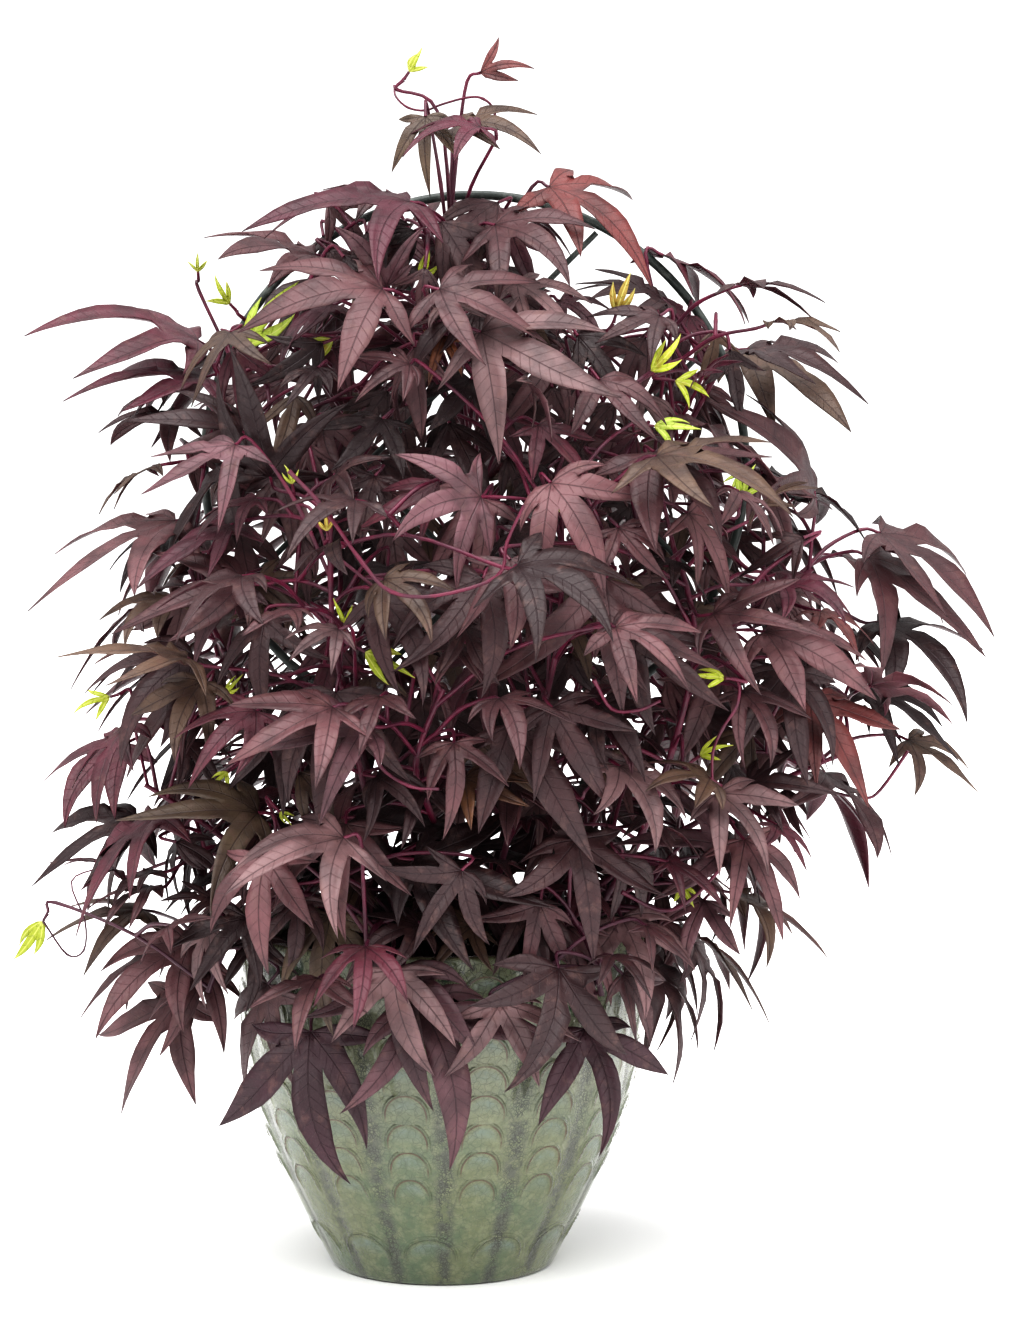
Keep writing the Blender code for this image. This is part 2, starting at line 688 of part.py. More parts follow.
def grow_leaf(plant, joints, name, leaf, offsets):
    """Sets one leaf on the nearest stem, moved as little as clears it from the rest."""
    for offset in offsets:
        moved = leaf.moved(offset)
        bare = [moved.hub - moved.along * 0.004, moved.hub]
        padded = leaf_mesh(f"{name}_test", moved, BLADE_THICKNESS + CLEARANCE, bare, STALK_RADIUS)
        clear = {}
        for joint in nearest_joints(joints, moved.hub)[:20]:
            owner = joint.owner
            if owner not in clear:
                clear[owner] = plant.blade_is_clear(padded, owner)
            route = stalk_route(joint.point, moved)
            if not clear[owner] or not plant.route_is_clear(route, STALK_RADIUS, owner):
                continue
            plant.add(owner, "leaf", leaf_mesh(name, moved, BLADE_THICKNESS, route, STALK_RADIUS))
            joint.free = False
            return True
    return False


def portrait_leaf(hub, tip, length_mm, turn):
    """A leaf whose hub and tip are seen at two pixels: the rest of its length is depth."""
    length = length_mm / 1000
    start = seen_at(hub, front_depth(hub))
    flat = seen_at(tip, start.y) - start
    lean = math.sqrt(max(0.0, length**2 - flat.length_squared))
    half, middle = crown_at(start.z)
    outward = Vector((start.x - middle, start.y / CROWN_DEPTH_SHARE, 0.0)).normalized()
    viewer = (outward + Vector((0.0, -1.6, 0.5))).normalized()
    facing = viewer * turn + Vector((0.0, 0.0, 1.0 - turn))
    lobes = YOUNG_LOBES if hub in THREE_LOBED else LOBES
    return Leaf(start, flat + Vector((0.0, -lean, 0.0)), facing, length, lobes)


def hidden_leaf(index, draw):
    """A leaf on the spiral round the sides and back, drooping outwards."""
    share = (index + 0.5) / HIDDEN_LEAVES
    height = HIDDEN_LOW + (HIDDEN_HIGH - HIDDEN_LOW) * share
    low, high = HIDDEN_ARC
    azimuth = low + (index * GOLDEN_ANGLE) % (high - low)
    half, middle = crown_at(height)
    outward = Vector((math.cos(azimuth), math.sin(azimuth), 0.0))
    place = Vector((outward.x, outward.y * CROWN_DEPTH_SHARE, 0.0)) * half
    hub = place * draw.uniform(0.90, 1.0) + Vector((middle, 0.0, height + draw.uniform(-0.01, 0.01)))
    tangent = Vector((-outward.y, outward.x, 0.0))
    droop = draw.uniform(0.25, 0.95)
    along = outward * draw.uniform(0.5, 1.0) + tangent * draw.uniform(-0.7, 0.7)
    along -= Vector((0.0, 0.0, droop))
    facing = outward * draw.uniform(0.3, 0.8) + Vector((0.0, 0.0, 1.0))
    return Leaf(hub, along, facing, draw.uniform(*HIDDEN_REACH))


def depth_offsets():
    """Moves to try for a leaf that faces the viewer: away and near in turn, ever further."""
    moves = [0.0] + [step * 0.007 * sign for step in range(1, 9) for sign in (1, -1)]
    return [Vector((0.0, move, 0.0)) for move in moves]


def outward_offsets(leaf):
    """Moves to try for a leaf at the side or back: in, out, up and down."""
    flat = Vector((leaf.hub.x, leaf.hub.y, 0.0)).normalized()
    rise = Vector((0.0, 0.0, 0.012))
    return [flat * (-0.010 * i) + rise * j for i in range(4) for j in (0, 1, -1, 2, -2)]


def grow_leaves(plant, joints):
    missed = 0
    for index, (hub, tip, length, turn) in enumerate(PORTRAIT_LEAVES):
        leaf = portrait_leaf(hub, tip, length, turn)
        if not grow_leaf(plant, joints, f"portrait_{index}", leaf, depth_offsets()):
            print("portrait leaf left out:", hub)
            missed += 1
    draw = random.Random(SEED)
    for index in range(HIDDEN_LEAVES):
        leaf = hidden_leaf(index, draw)
        if not grow_leaf(plant, joints, f"hidden_{index}", leaf, outward_offsets(leaf)):
            missed += 1
    print(missed, "leaves left out")


def grow_shoot(plant, joints, name, pixels, length_mm, depth_mm):
    """A thin runner of the nearest vine, and the young leaf that starts a gap beyond its end."""
    hub_pixel, tip_pixel = pixels
    for step in range(10):
        depth = depth_mm / 1000 + (step * 0.005 if step % 2 else -step * 0.005)
        hub = seen_at(hub_pixel, depth)
        along = seen_at(tip_pixel, depth - 0.006) - hub
        leaf = Leaf(hub, along, Vector((0.0, -1.0, 0.6)), length_mm / 1000, YOUNG_LOBES)
        bare = [hub - leaf.along * 0.006, hub]
        padded = leaf_mesh(f"{name}_test", leaf, BLADE_THICKNESS + CLEARANCE, bare, RUNNER_RADIUS)
        if not plant.blade_is_clear(padded, name):
            continue
        end = bare[0] - leaf.along * 0.0004
        for joint in nearest_joints(joints, hub)[:20]:
            bend = joint.point.lerp(end, 0.45) + Vector((0.0, 0.0, 0.012))
            runner = [joint.point, bend, end - leaf.along * 0.008, end]
            if not plant.route_is_clear(runner, RUNNER_RADIUS, joint.owner):
                continue
            runner_mesh = tube_mesh(f"{name}_runner", runner, [RUNNER_RADIUS] * 4, 0)
            plant.add(joint.owner, "leaf", runner_mesh)
            plant.add(name, "leaf", leaf_mesh(name, leaf, BLADE_THICKNESS, bare, RUNNER_RADIUS))
            joint.free = False
            return True
    return False


def grow_shoots(plant, joints):
    for name, (hub, tip, length, depth) in YOUNG_SHOOTS.items():
        if not grow_shoot(plant, joints, name, (hub, tip), length, depth):
            print(name, "left out")


def fused(name, meshes, finish, parts):
    """One body from overlapping closed pieces: the first, with the rest joined to it."""
    meshes[0].materials.append(finish)
    body = new_object(name, meshes[0], parts)
    if len(meshes) == 1:
        return
    others = new_collection(f"{name}_pieces")
    for index, mesh in enumerate(meshes[1:]):
        new_object(f"{name}_piece_{index}", mesh, others)
    union = body.modifiers.new("Join", "BOOLEAN")
    union.operation = "UNION"
    union.solver = "MANIFOLD"
    union.operand_type = "COLLECTION"
    union.collection = others
    bpy.context.view_layer.update()
    graph = bpy.context.evaluated_depsgraph_get()
    joined = bpy.data.meshes.new_from_object(body.evaluated_get(graph))
    body.modifiers.clear()
    body.data = joined
    for piece in list(others.objects):
        bpy.data.objects.remove(piece)
    bpy.data.collections.remove(others)


def main():
    clear_scene()
    parts = new_collection("sweet_potato_vine")
    plant = Plant()
    plant.keep_off(make_pot(parts, material("glaze", GLAZE, 0.25)))
    plant.keep_off(make_trellis(parts, material("coated_steel", COATED_STEEL, 0.45, 0.4)))
    joints = grow_stems(plant)
    stem_feet = [(points[0][0] / 1000, points[0][1] / 1000) for points in VINES.values()]
    plant.keep_off(make_soil(parts, material("earth", EARTH, 0.95), stem_feet, leg_feet()))
    grow_shoots(plant, joints)
    grow_leaves(plant, joints)
    foliage = material("foliage", PURPLE, 0.55)
    young = material("young_leaf", LIME, 0.50)
    for name, meshes in plant.pieces.items():
        fused(name, meshes, young if name in YOUNG_SHOOTS else foliage, parts)


main()
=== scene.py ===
"""A potted sweet potato vine: its fine leaves, stems, glaze and soil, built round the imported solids."""

import math
import random

import bmesh
import bpy
import numpy as np
from bpy.props import FloatProperty, FloatVectorProperty, IntProperty, PointerProperty
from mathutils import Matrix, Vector
from mathutils.bvhtree import BVHTree


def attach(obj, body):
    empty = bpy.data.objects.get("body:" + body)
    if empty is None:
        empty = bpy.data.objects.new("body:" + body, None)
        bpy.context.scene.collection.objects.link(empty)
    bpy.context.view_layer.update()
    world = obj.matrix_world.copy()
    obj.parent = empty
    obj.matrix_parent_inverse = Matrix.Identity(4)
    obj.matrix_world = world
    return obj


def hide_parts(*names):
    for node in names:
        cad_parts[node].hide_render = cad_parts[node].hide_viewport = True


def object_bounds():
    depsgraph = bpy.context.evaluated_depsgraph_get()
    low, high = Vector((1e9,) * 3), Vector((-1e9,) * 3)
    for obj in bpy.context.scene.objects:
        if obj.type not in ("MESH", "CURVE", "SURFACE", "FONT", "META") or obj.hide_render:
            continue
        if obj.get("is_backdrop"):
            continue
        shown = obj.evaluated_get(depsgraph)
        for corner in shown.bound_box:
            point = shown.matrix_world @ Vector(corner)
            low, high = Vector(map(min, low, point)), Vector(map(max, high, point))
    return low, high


bl_info = {
    "name": "Sweet Potato Vine",
    "version": (1, 0, 0),
    "blender": (4, 5, 0),
    "location": "View3D > Sidebar > Vine",
    "description": "Grows a potted sweet potato vine on its wire trellis",
    "category": "Add Mesh",
}

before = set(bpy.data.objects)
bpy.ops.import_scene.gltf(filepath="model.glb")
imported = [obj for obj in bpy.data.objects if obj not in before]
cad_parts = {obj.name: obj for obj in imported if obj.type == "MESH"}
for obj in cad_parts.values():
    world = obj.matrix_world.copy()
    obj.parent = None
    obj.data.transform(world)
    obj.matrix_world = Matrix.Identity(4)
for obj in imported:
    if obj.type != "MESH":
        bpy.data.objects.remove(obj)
CAD_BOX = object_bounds()

# The glazed pot, as in the solids: (radius, height) of its inside, floor to rim, and its drain holes.
POT_INSIDE = (
    (0.0700, 0.0140),
    (0.0790, 0.0280),
    (0.1020, 0.0760),
    (0.1190, 0.1240),
    (0.1262, 0.1690),
    (0.1272, 0.2240),
    (0.1290, 0.2280),
)
DRAIN_RADIUS = 0.006
DRAIN_RING = 0.036
DRAIN_COUNT = 3

# The pot's relief: rows of scales in columns. A scale is an arch, round at its top, with two legs.
ROW_LOW = 0.0792
ROW_PITCH = 0.0195
ROW_COUNT = 8
FOOT_ROW = 0.0345
FOOT_COLUMNS = 12
ARCH_DROP = 0.0145
ARCH_SHARE = 0.275
FOOT_ARCH_SHARE = 0.36
LEG_FADE = (-0.003, 0.006)
COLUMN_TURN = math.radians(-90 - 9.6)
FOOT_TURN = math.radians(-90 - 4.3)
SCALE_SWELL = 0.0008
SEAM_DEPTH = 0.0010
SEAM_START = 0.30
RELIEF_SINK = 0.0004
PLAIN_RIM = 0.2275
PLAIN_FOOT = 0.012
POT_STEPS_UP = 132
POT_STEPS_ROUND = 504
POT_BEARINGS = [math.tau * step / POT_STEPS_ROUND for step in range(POT_STEPS_ROUND)]

# The pot's turned wall, rim to foot, as (radius, height), and the rings that close it under its foot
# and over its rim.
WALL_CURVE = (
    (0.1345, 0.2280),
    (0.1362, 0.2240),
    (0.1368, 0.1980),
    (0.1355, 0.1690),
    (0.1325, 0.1450),
    (0.1285, 0.1220),
    (0.1210, 0.0980),
    (0.1117, 0.0740),
    (0.1000, 0.0490),
    (0.0878, 0.0250),
    (0.0800, 0.0100),
)
FOOT_RINGS = ((0.0770, 0.0042), (0.0752, 0.0010), (0.0725, 0.0))
RIM_RINGS = ((0.1330, 0.2280), (0.1308, 0.2280))

# Potting soil, and how far the stems and the hoop's legs stand in it.
SOIL_LEVEL = 0.2000
SOIL_CROWN = 0.0040
STEM_DEPTH = 0.030
LEG_DEPTH = 0.110
CRUMB_SPREAD = 0.121

# The trellis: a round hoop of coated steel on two legs, with a diamond lattice of thinner rods.
HOOP_CENTRE = Vector((0.022, 0.020, 0.536))
HOOP_RADIUS = 0.182
HOOP_TUBE = 0.0030
HOOP_ARC_END = math.radians(148)
HOOP_STEPS = 26
LEG_SPREAD = 0.060
LEG_KNEE = 0.075
LEG_ANKLE = 0.020
ROD_TUBE = 0.0020
ROD_OFFSET = 0.293 * HOOP_RADIUS
ROD_LAYER = ROD_TUBE + 0.0002
ROD_END_GAP = 0.0022
ROD_STEPS = 12

# The viewpoint that the leaves' places were read from, for a picture 1024 wide and 1319 high.
EYE_DISTANCE = 2.5
EYE_TARGET = Vector((0.0469, 0.0, 0.408))
EYE_TILT = math.radians(4.6)
FRAME_HEIGHT = 1319.0
PICTURE_CENTRE = (512.0, FRAME_HEIGHT / 2)
PIXELS_PER_TANGENT = EYE_DISTANCE / 0.00067
SENSOR = 36.0

# The crown of leaves: (height, half width, middle in X) of the surface where most blades start.
CROWN = (
    (0.150, 0.110, -0.010),
    (0.175, 0.156, -0.017),
    (0.300, 0.230, 0.020),
    (0.450, 0.240, 0.045),
    (0.600, 0.187, 0.025),
    (0.680, 0.100, 0.015),
    (0.770, 0.030, 0.005),
)
CROWN_DEPTH_SHARE = 0.80
PORTRAIT_SINK = 0.92

# Stems, leaf stalks and the runners of young shoots.
STEM_RADIUS = 0.0028
STEM_TIP_RADIUS = 0.0017
STALK_RADIUS = 0.0013
STALK_REACH = (0.022, 0.150)
STALK_BEND = 0.45
STALK_POINTS = 4
JOINT_SPACING = 0.009
RUNNER_RADIUS = 0.0012
RUNNER_GAP = 0.0004
CLEARANCE = 0.0009
CAP_WELD = 0.00002
SAMPLE_SPACING = 0.0025
FINE_STEPS = 4
SWELLING = 0.25

# A blade's lobes: (angle, length, half width), for a main lobe of length 1. The middle lobe has
# a rib, and a lobe with no width of its own is a plain point between its two notches.
BLADE_THICKNESS = 0.0008
SINUS_SHARE = 0.24
SINUS_MARGIN = math.radians(24)
LOBES = (
    (math.radians(-88), 0.46, 0.0),
    (math.radians(-43), 0.84, 0.098),
    (0.0, 1.00, 0.118),
    (math.radians(43), 0.84, 0.098),
    (math.radians(88), 0.46, 0.0),
)
YOUNG_LOBES = (
    (math.radians(-34), 0.72, 0.0),
    (0.0, 1.00, 0.085),
    (math.radians(34), 0.72, 0.0),
)
SLENDER_LOBES = (
    (math.radians(-38), 0.66, 0.0),
    (0.0, 1.00, 0.125),
    (math.radians(38), 0.66, 0.0),
)
WIDEST = 0.50
LOBE_RISE = 0.16
LOBE_DROOP = 0.34
RIB_FOLD = 0.30

# Fine blades: how a lobe widens and narrows along its length, and where its cross rows lie.
LOBE_OUTLINE = (
    (0.0, 0.30),
    (0.2, 0.64),
    (0.35, 0.90),
    (0.48, 1.0),
    (0.64, 0.88),
    (0.8, 0.54),
    (0.9, 0.27),
    (1.0, 0.0),
)
LOBE_ROWS = (0.12, 0.25, 0.38, 0.51, 0.64, 0.76, 0.87, 0.95)
FILL_ROWS = (0.22, 0.48, 0.72, 0.91)
SPIKE_WIDTH = 0.070
YOUNG_SPIKE_WIDTH = 0.085

# Each vine: (x, y, z) points of its stem in millimetres, from where it leaves the soil.
VINES = {
    "vine_crown": ((8, 34, 200), (10, 36, 330), (26, 32, 470), (12, 2, 590), (6, 6, 680), (8, 2, 748)),
    "vine_upper_left": ((-24, 2, 200), (-52, 0, 340), (-92, 2, 470), (-132, -14, 560), (-150, -24, 606)),
    "vine_upper_right": ((50, 30, 200), (76, 8, 340), (122, 0, 470), (162, -12, 560), (186, -22, 606)),
    "vine_right_reach": ((66, 2, 200), (116, -14, 330), (184, -22, 424), (246, -24, 470)),
    "vine_right_low": ((58, -34, 200), (122, -50, 276), (200, -58, 322), (262, -44, 348)),
    "vine_left_mid": ((-52, -2, 200), (-100, -10, 320), (-146, -26, 420), (-166, -28, 470)),
    "vine_left_low": ((-54, -34, 200), (-110, -50, 268), (-166, -58, 312), (-194, -56, 330)),
    "vine_left_skirt": ((-38, -62, 200), (-84, -92, 262), (-128, -104, 246), (-150, -100, 200)),
    "vine_front_left": ((-26, -36, 200), (-46, -88, 320), (-66, -128, 430), (-68, -132, 512)),
    "vine_front_right": ((24, -38, 200), (50, -92, 320), (76, -132, 430), (78, -130, 520)),
    "vine_front_middle": ((-2, -52, 200), (0, -108, 300), (-14, -146, 352), (4, -156, 402)),
    "vine_skirt_left": ((-14, -80, 200), (-30, -118, 252), (-44, -148, 240), (-50, -158, 196)),
    "vine_skirt_right": ((34, -76, 200), (62, -110, 254), (92, -134, 246), (104, -138, 204)),
    "vine_right_shoulder": ((82, -50, 200), (130, -92, 300), (164, -108, 420), (150, -98, 490)),
    "vine_back_left": ((-44, 44, 200), (-92, 84, 300), (-136, 112, 360), (-160, 116, 372)),
    "vine_back_low": ((-12, 78, 200), (-24, 128, 262), (-30, 160, 252), (-30, 172, 214)),
    "vine_back_right": ((46, 66, 200), (104, 104, 300), (166, 122, 356), (196, 120, 366)),
    "vine_back_middle": ((-16, 52, 200), (-24, 98, 340), (-20, 142, 440), (-14, 140, 500)),
    "vine_back_upper": ((24, 56, 200), (62, 78, 360), (92, 106, 480), (92, 96, 560)),
    "vine_back_high": ((-30, 66, 200), (-66, 70, 380), (-70, 84, 500), (-56, 66, 590)),
}

# Leaves read off the picture: (hub, tip of the main lobe) in its pixels, main lobe in millimetres,
# and how far the blade turns from the sky (0) to the viewer (1). These are in the solids too.
PORTRAIT_LEAVES = (
    ((480, 73), (541, 50), 46, 0.8),
    ((459, 125), (541, 120), 62, 0.4),
    ((481, 131), (402, 124), 56, 0.3),
    ((426, 118), (427, 182), 48, 0.9),
    ((495, 225), (592, 260), 78, 0.6),
    ((410, 202), (256, 206), 108, 0.3),
    ((386, 286), (352, 224), 52, 0.9),
    ((378, 193), (312, 180), 50, 0.3),
    ((549, 187), (674, 230), 92, 0.5),
    ((315, 255), (200, 240), 85, 0.4),
    ((384, 290), (245, 303), 100, 0.5),
    ((481, 332), (611, 396), 105, 0.7),
    ((440, 290), (548, 321), 80, 0.5),
    ((662, 299), (594, 278), 60, 0.4),
    ((749, 349), (861, 363), 85, 0.3),
    ((749, 352), (859, 422), 100, 0.25),
    ((814, 492), (751, 376), 98, 0.5),
    ((654, 452), (730, 520), 98, 0.7),
    ((197, 340), (44, 290), 112, 0.35),
    ((202, 377), (73, 382), 92, 0.3),
    ((178, 415), (95, 433), 66, 0.4),
    ((242, 432), (150, 396), 72, 0.6),
    ((271, 476), (249, 362), 84, 0.9),
    ((176, 521), (36, 575), 108, 0.3),
    ((231, 525), (153, 582), 72, 0.25),
    ((243, 583), (121, 602), 86, 0.6),
    ((194, 656), (98, 725), 86, 0.7),
    ((265, 620), (256, 699), 60, 0.9),
    ((126, 743), (36, 802), 80, 0.6),
    ((137, 818), (22, 865), 88, 0.5),
    ((258, 813), (128, 811), 92, 0.6),
    ((142, 910), (38, 918), 76, 0.3),
    ((190, 944), (89, 1003), 84, 0.6),
    ((182, 998), (111, 1103), 90, 0.7),
    ((880, 533), (1016, 607), 106, 0.35),
    ((869, 558), (981, 649), 100, 0.4),
    ((878, 623), (1003, 672), 96, 0.35),
    ((867, 688), (955, 741), 74, 0.45),
    ((908, 740), (981, 786), 60, 0.5),
    ((713, 614), (813, 630), 76, 0.6),
    ((765, 632), (880, 680), 88, 0.5),
    ((787, 671), (798, 777), 80, 0.8),
    ((810, 700), (880, 786), 80, 0.6),
    ((748, 784), (828, 773), 58, 0.6),
    ((726, 846), (622, 824), 78, 0.7),
    ((743, 837), (786, 917), 66, 0.6),
    ((704, 900), (674, 960), 50, 0.5),
    ((481, 497), (379, 509), 74, 0.9),
    ((377, 595), (462, 664), 80, 0.7),
    ((483, 579), (426, 679), 84, 0.8),
    ((551, 483), (627, 565), 82, 0.9),
    ((606, 579), (510, 685), 102, 0.8),
    ((517, 561), (635, 583), 84, 0.5),
    ((636, 638), (708, 701), 72, 0.7),
    ((346, 824), (329, 929), 78, 0.9),
    ((336, 692), (324, 819), 90, 0.9),
    ((368, 721), (261, 732), 78, 0.6),
    ((282, 728), (282, 808), 60, 0.9),
    ((454, 743), (465, 811), 54, 0.8),
    ((577, 840), (600, 945), 80, 0.9),
    ((552, 708), (606, 788), 72, 0.9),
    ((511, 726), (585, 834), 94, 0.8),
    ((414, 861), (547, 907), 94, 0.6),
    ((422, 993), (491, 1119), 102, 0.7),
    ((405, 958), (397, 1089), 94, 0.9),
    ((331, 916), (310, 1015), 74, 0.9),
    ((315, 1018), (307, 1165), 104, 0.8),
    ((584, 1015), (625, 1119), 80, 0.8),
    ((567, 927), (581, 1019), 68, 0.8),
    ((622, 919), (660, 1010), 74, 0.8),
)

# The portrait leaves that have three lobes, by their hubs.
THREE_LOBED = ((480, 73),)

# Leaves out of the viewpoint's sight follow a spiral round the crown's sides and back.
HIDDEN_LEAVES = 52
HIDDEN_LOW = 0.190
HIDDEN_HIGH = 0.660
HIDDEN_REACH = (0.074, 0.100)
HIDDEN_ARC = (math.radians(-28), math.radians(208))
GOLDEN_ANGLE = math.radians(137.508)
SEED = 23

# Moves to try for a leaf that has no room: steps in depth, inwards and up, and none at all.
DEPTH_STEP = 0.007
DEPTH_STEPS = 8
INWARD_STEP = 0.010
RISE_STEP = 0.012
STAY = (Vector(),)

# Young shoots: (hub, tip) in the picture's pixels, main lobe in millimetres, depth in millimetres.
YOUNG_SHOOTS = {
    "shoot_top": ((409, 72), (430, 41), 24, -4),
    "shoot_left_high": ((246, 346), (293, 283), 52, -40),
    "shoot_left_inner": ((333, 340), (304, 353), 24, -60),
    "shoot_right_high": ((616, 314), (629, 269), 30, -60),
    "shoot_right_star": ((651, 371), (677, 350), 30, -90),
    "shoot_right_fork": ((675, 381), (714, 388), 28, -70),
    "shoot_right_lower": ((654, 426), (698, 430), 32, -110),
    "shoot_left_edge": ((110, 697), (74, 708), 26, -30),
    "shoot_middle": ((365, 652), (413, 679), 34, -170),
    "shoot_corner": ((43, 921), (15, 967), 34, -50),
    "shoot_right_loop": ((725, 678), (693, 674), 22, -150),
}

# More leaves read off the picture, too many for the solids: laid out as PORTRAIT_LEAVES is.
SMALL_PORTRAITS = (
    ((333, 305), (258, 336), 58, 0.3),
    ((410, 364), (355, 380), 46, 0.6),
    ((318, 368), (297, 400), 40, 0.6),
    ((443, 336), (427, 381), 36, 0.9),
    ((690, 315), (672, 372), 48, 0.7),
    ((516, 283), (583, 324), 60, 0.4),
    ((659, 316), (596, 342), 54, 0.4),
    ((654, 455), (788, 470), 100, 0.35),
    ((704, 376), (732, 347), 36, 0.4),
    ((761, 506), (806, 474), 44, 0.4),
    ((242, 443), (169, 497), 68, 0.5),
    ((274, 476), (300, 540), 54, 0.9),
    ((170, 534), (102, 570), 60, 0.4),
    ((236, 590), (192, 649), 60, 0.8),
    ((173, 599), (100, 622), 60, 0.4),
    ((194, 652), (79, 636), 84, 0.3),
    ((206, 678), (157, 743), 66, 0.8),
    ((260, 706), (187, 755), 68, 0.6),
    ((115, 865), (62, 847), 46, 0.3),
    ((260, 834), (228, 890), 52, 0.7),
    ((249, 915), (195, 972), 62, 0.7),
    ((209, 972), (161, 1039), 64, 0.7),
    ((780, 584), (856, 598), 60, 0.3),
    ((821, 612), (863, 640), 46, 0.3),
    ((741, 690), (793, 744), 60, 0.6),
    ((708, 775), (641, 760), 56, 0.4),
    ((717, 791), (784, 845), 66, 0.6),
    ((611, 622), (693, 648), 64, 0.5),
    ((600, 707), (652, 752), 54, 0.7),
    ((481, 500), (418, 571), 70, 0.7),
    ((385, 577), (444, 609), 54, 0.6),
    ((281, 488), (311, 542), 48, 0.8),
    ((373, 478), (351, 538), 50, 0.8),
    ((510, 558), (524, 648), 68, 0.9),
    ((342, 624), (294, 639), 42, 0.5),
    ((252, 584), (305, 626), 54, 0.7),
    ((606, 585), (603, 664), 62, 0.9),
    ((613, 622), (694, 650), 64, 0.5),
    ((511, 536), (577, 548), 50, 0.5),
    ((619, 528), (651, 577), 46, 0.7),
    ((337, 699), (242, 742), 78, 0.5),
    ((347, 828), (239, 856), 82, 0.5),
    ((352, 828), (475, 847), 92, 0.5),
    ((376, 777), (435, 805), 50, 0.6),
    ((270, 848), (258, 940), 70, 0.9),
    ((583, 710), (653, 752), 64, 0.6),
    ((577, 844), (537, 907), 56, 0.8),
    ((465, 781), (527, 800), 50, 0.5),
    ((526, 910), (554, 971), 54, 0.8),
    ((257, 940), (257, 1001), 46, 0.9),
    ((298, 900), (303, 963), 48, 0.9),
    ((419, 924), (348, 932), 56, 0.5),
    ((672, 302), (580, 276), 74, 0.4),
    ((560, 300), (612, 318), 44, 0.5),
    ((555, 360), (520, 420), 60, 0.7),
    ((600, 380), (640, 440), 60, 0.7),
    ((470, 380), (440, 440), 54, 0.8),
    ((380, 420), (340, 470), 56, 0.7),
    ((395, 960), (404, 1058), 74, 0.9),
    ((500, 990), (540, 1060), 64, 0.8),
)

# Small lime sprouts: (hub, tip, length in millimetres).
SPROUTS = (
    ((198, 272), (197, 256), 14),
    ((230, 304), (212, 285), 24),
    ((421, 279), (430, 255), 22),
    ((742, 498), (752, 468), 26),
    ((558, 512), (563, 490), 22),
    ((292, 484), (289, 468), 14),
    ((327, 531), (325, 515), 14),
    ((345, 625), (338, 606), 18),
    ((225, 694), (236, 683), 18),
    ((228, 772), (215, 782), 16),
    ((280, 812), (290, 822), 12),
    ((590, 786), (597, 779), 12),
    ((700, 756), (714, 747), 22),
    ((680, 884), (690, 898), 20),
    ((740, 474), (728, 492), 16),
)

# Smaller leaves that fill the crown. Each may branch from the stalk of another leaf of its vine.
FILL_SEED = 71
BRANCH_REACH = 0.007
FILL_TOP = 0.715
TWIG_TRIES = 3
TWIG_REACH = (0.024, 0.068)
TWIG_LEAF = (0.034, 0.078)
SKIRT_LEAVES = 200
SKIRT_TRIES = 5
SKIRT_RADIUS = (0.142, 0.185)
SKIRT_HEIGHT = (0.205, 0.300)
SKIRT_REACH = (0.046, 0.096)
BOX_MARGIN = 0.006
BARE_ARC = (38.0, 80.0)
BARE_REACH = 0.115

# Where gaps are looked for: (azimuth of the view in degrees, places looked at).
GAP_VIEWS = (
    (-90, 1500),
    (-90, 1500),
    (-45, 300),
    (-135, 300),
    (0, 300),
    (180, 300),
    (60, 300),
    (120, 300),
)
GAP_TRIES = 6
GAP_LOW = 0.19
GAP_HIGH = 0.72
GAP_REACH = (0.036, 0.074)
SIGHT_RISE = 0.08

# Loose stems that show outside the leaves: depth and radius in millimetres, and pixels of the picture.
LOOSE_SEED = 5
LOOSE_STEMS = (
    (-216, 1.3, ((289, 471), (322, 507), (362, 562), (391, 591), (436, 596), (497, 577),
                 (507, 542), (524, 505))),
    (-2, 0.9, ((497, 140), (494, 110), (483, 99), (468, 98), (442, 104), (425, 110),
               (408, 108), (396, 97), (394, 85))),
    (-30, 1.2, ((908, 751), (882, 790), (865, 798), (835, 792), (800, 785))),
    (-52, 0.7, ((43, 921), (66, 956), (84, 950), (86, 920), (71, 882), (100, 868))),
    (-152, 1.1, ((725, 678), (739, 683), (737, 705), (722, 728), (713, 754), (713, 790))),
    (-180, 1.2, ((594, 680), (612, 710), (638, 710), (660, 700))),
    (-188, 1.2, ((371, 725), (379, 766), (410, 786), (439, 788))),
    (-140, 1.3, ((622, 892), (661, 912), (690, 900), (719, 869))),
)

# Leaf colours, linear, with how often each is drawn.
LEAF_COLOURS = (
    ((0.020, 0.006, 0.007), 4),
    ((0.044, 0.017, 0.019), 6),
    ((0.084, 0.034, 0.038), 6),
    ((0.128, 0.056, 0.061), 4),
    ((0.160, 0.092, 0.094), 2),
    ((0.090, 0.020, 0.032), 3),
    ((0.105, 0.064, 0.044), 2),
)
ROSE = (0.120, 0.054, 0.064)
# Painted backlight: this brick red stands in for light shining through the blades from behind.
BACKLIT_BRICK = (0.160, 0.042, 0.040)
OLIVE = (0.110, 0.075, 0.048)
MAROON = (0.085, 0.016, 0.030)
YOUNG_COLOURS = (
    ((0.350, 0.400, 0.030), 4),
    ((0.300, 0.380, 0.045), 2),
    ((0.330, 0.230, 0.035), 1),
)
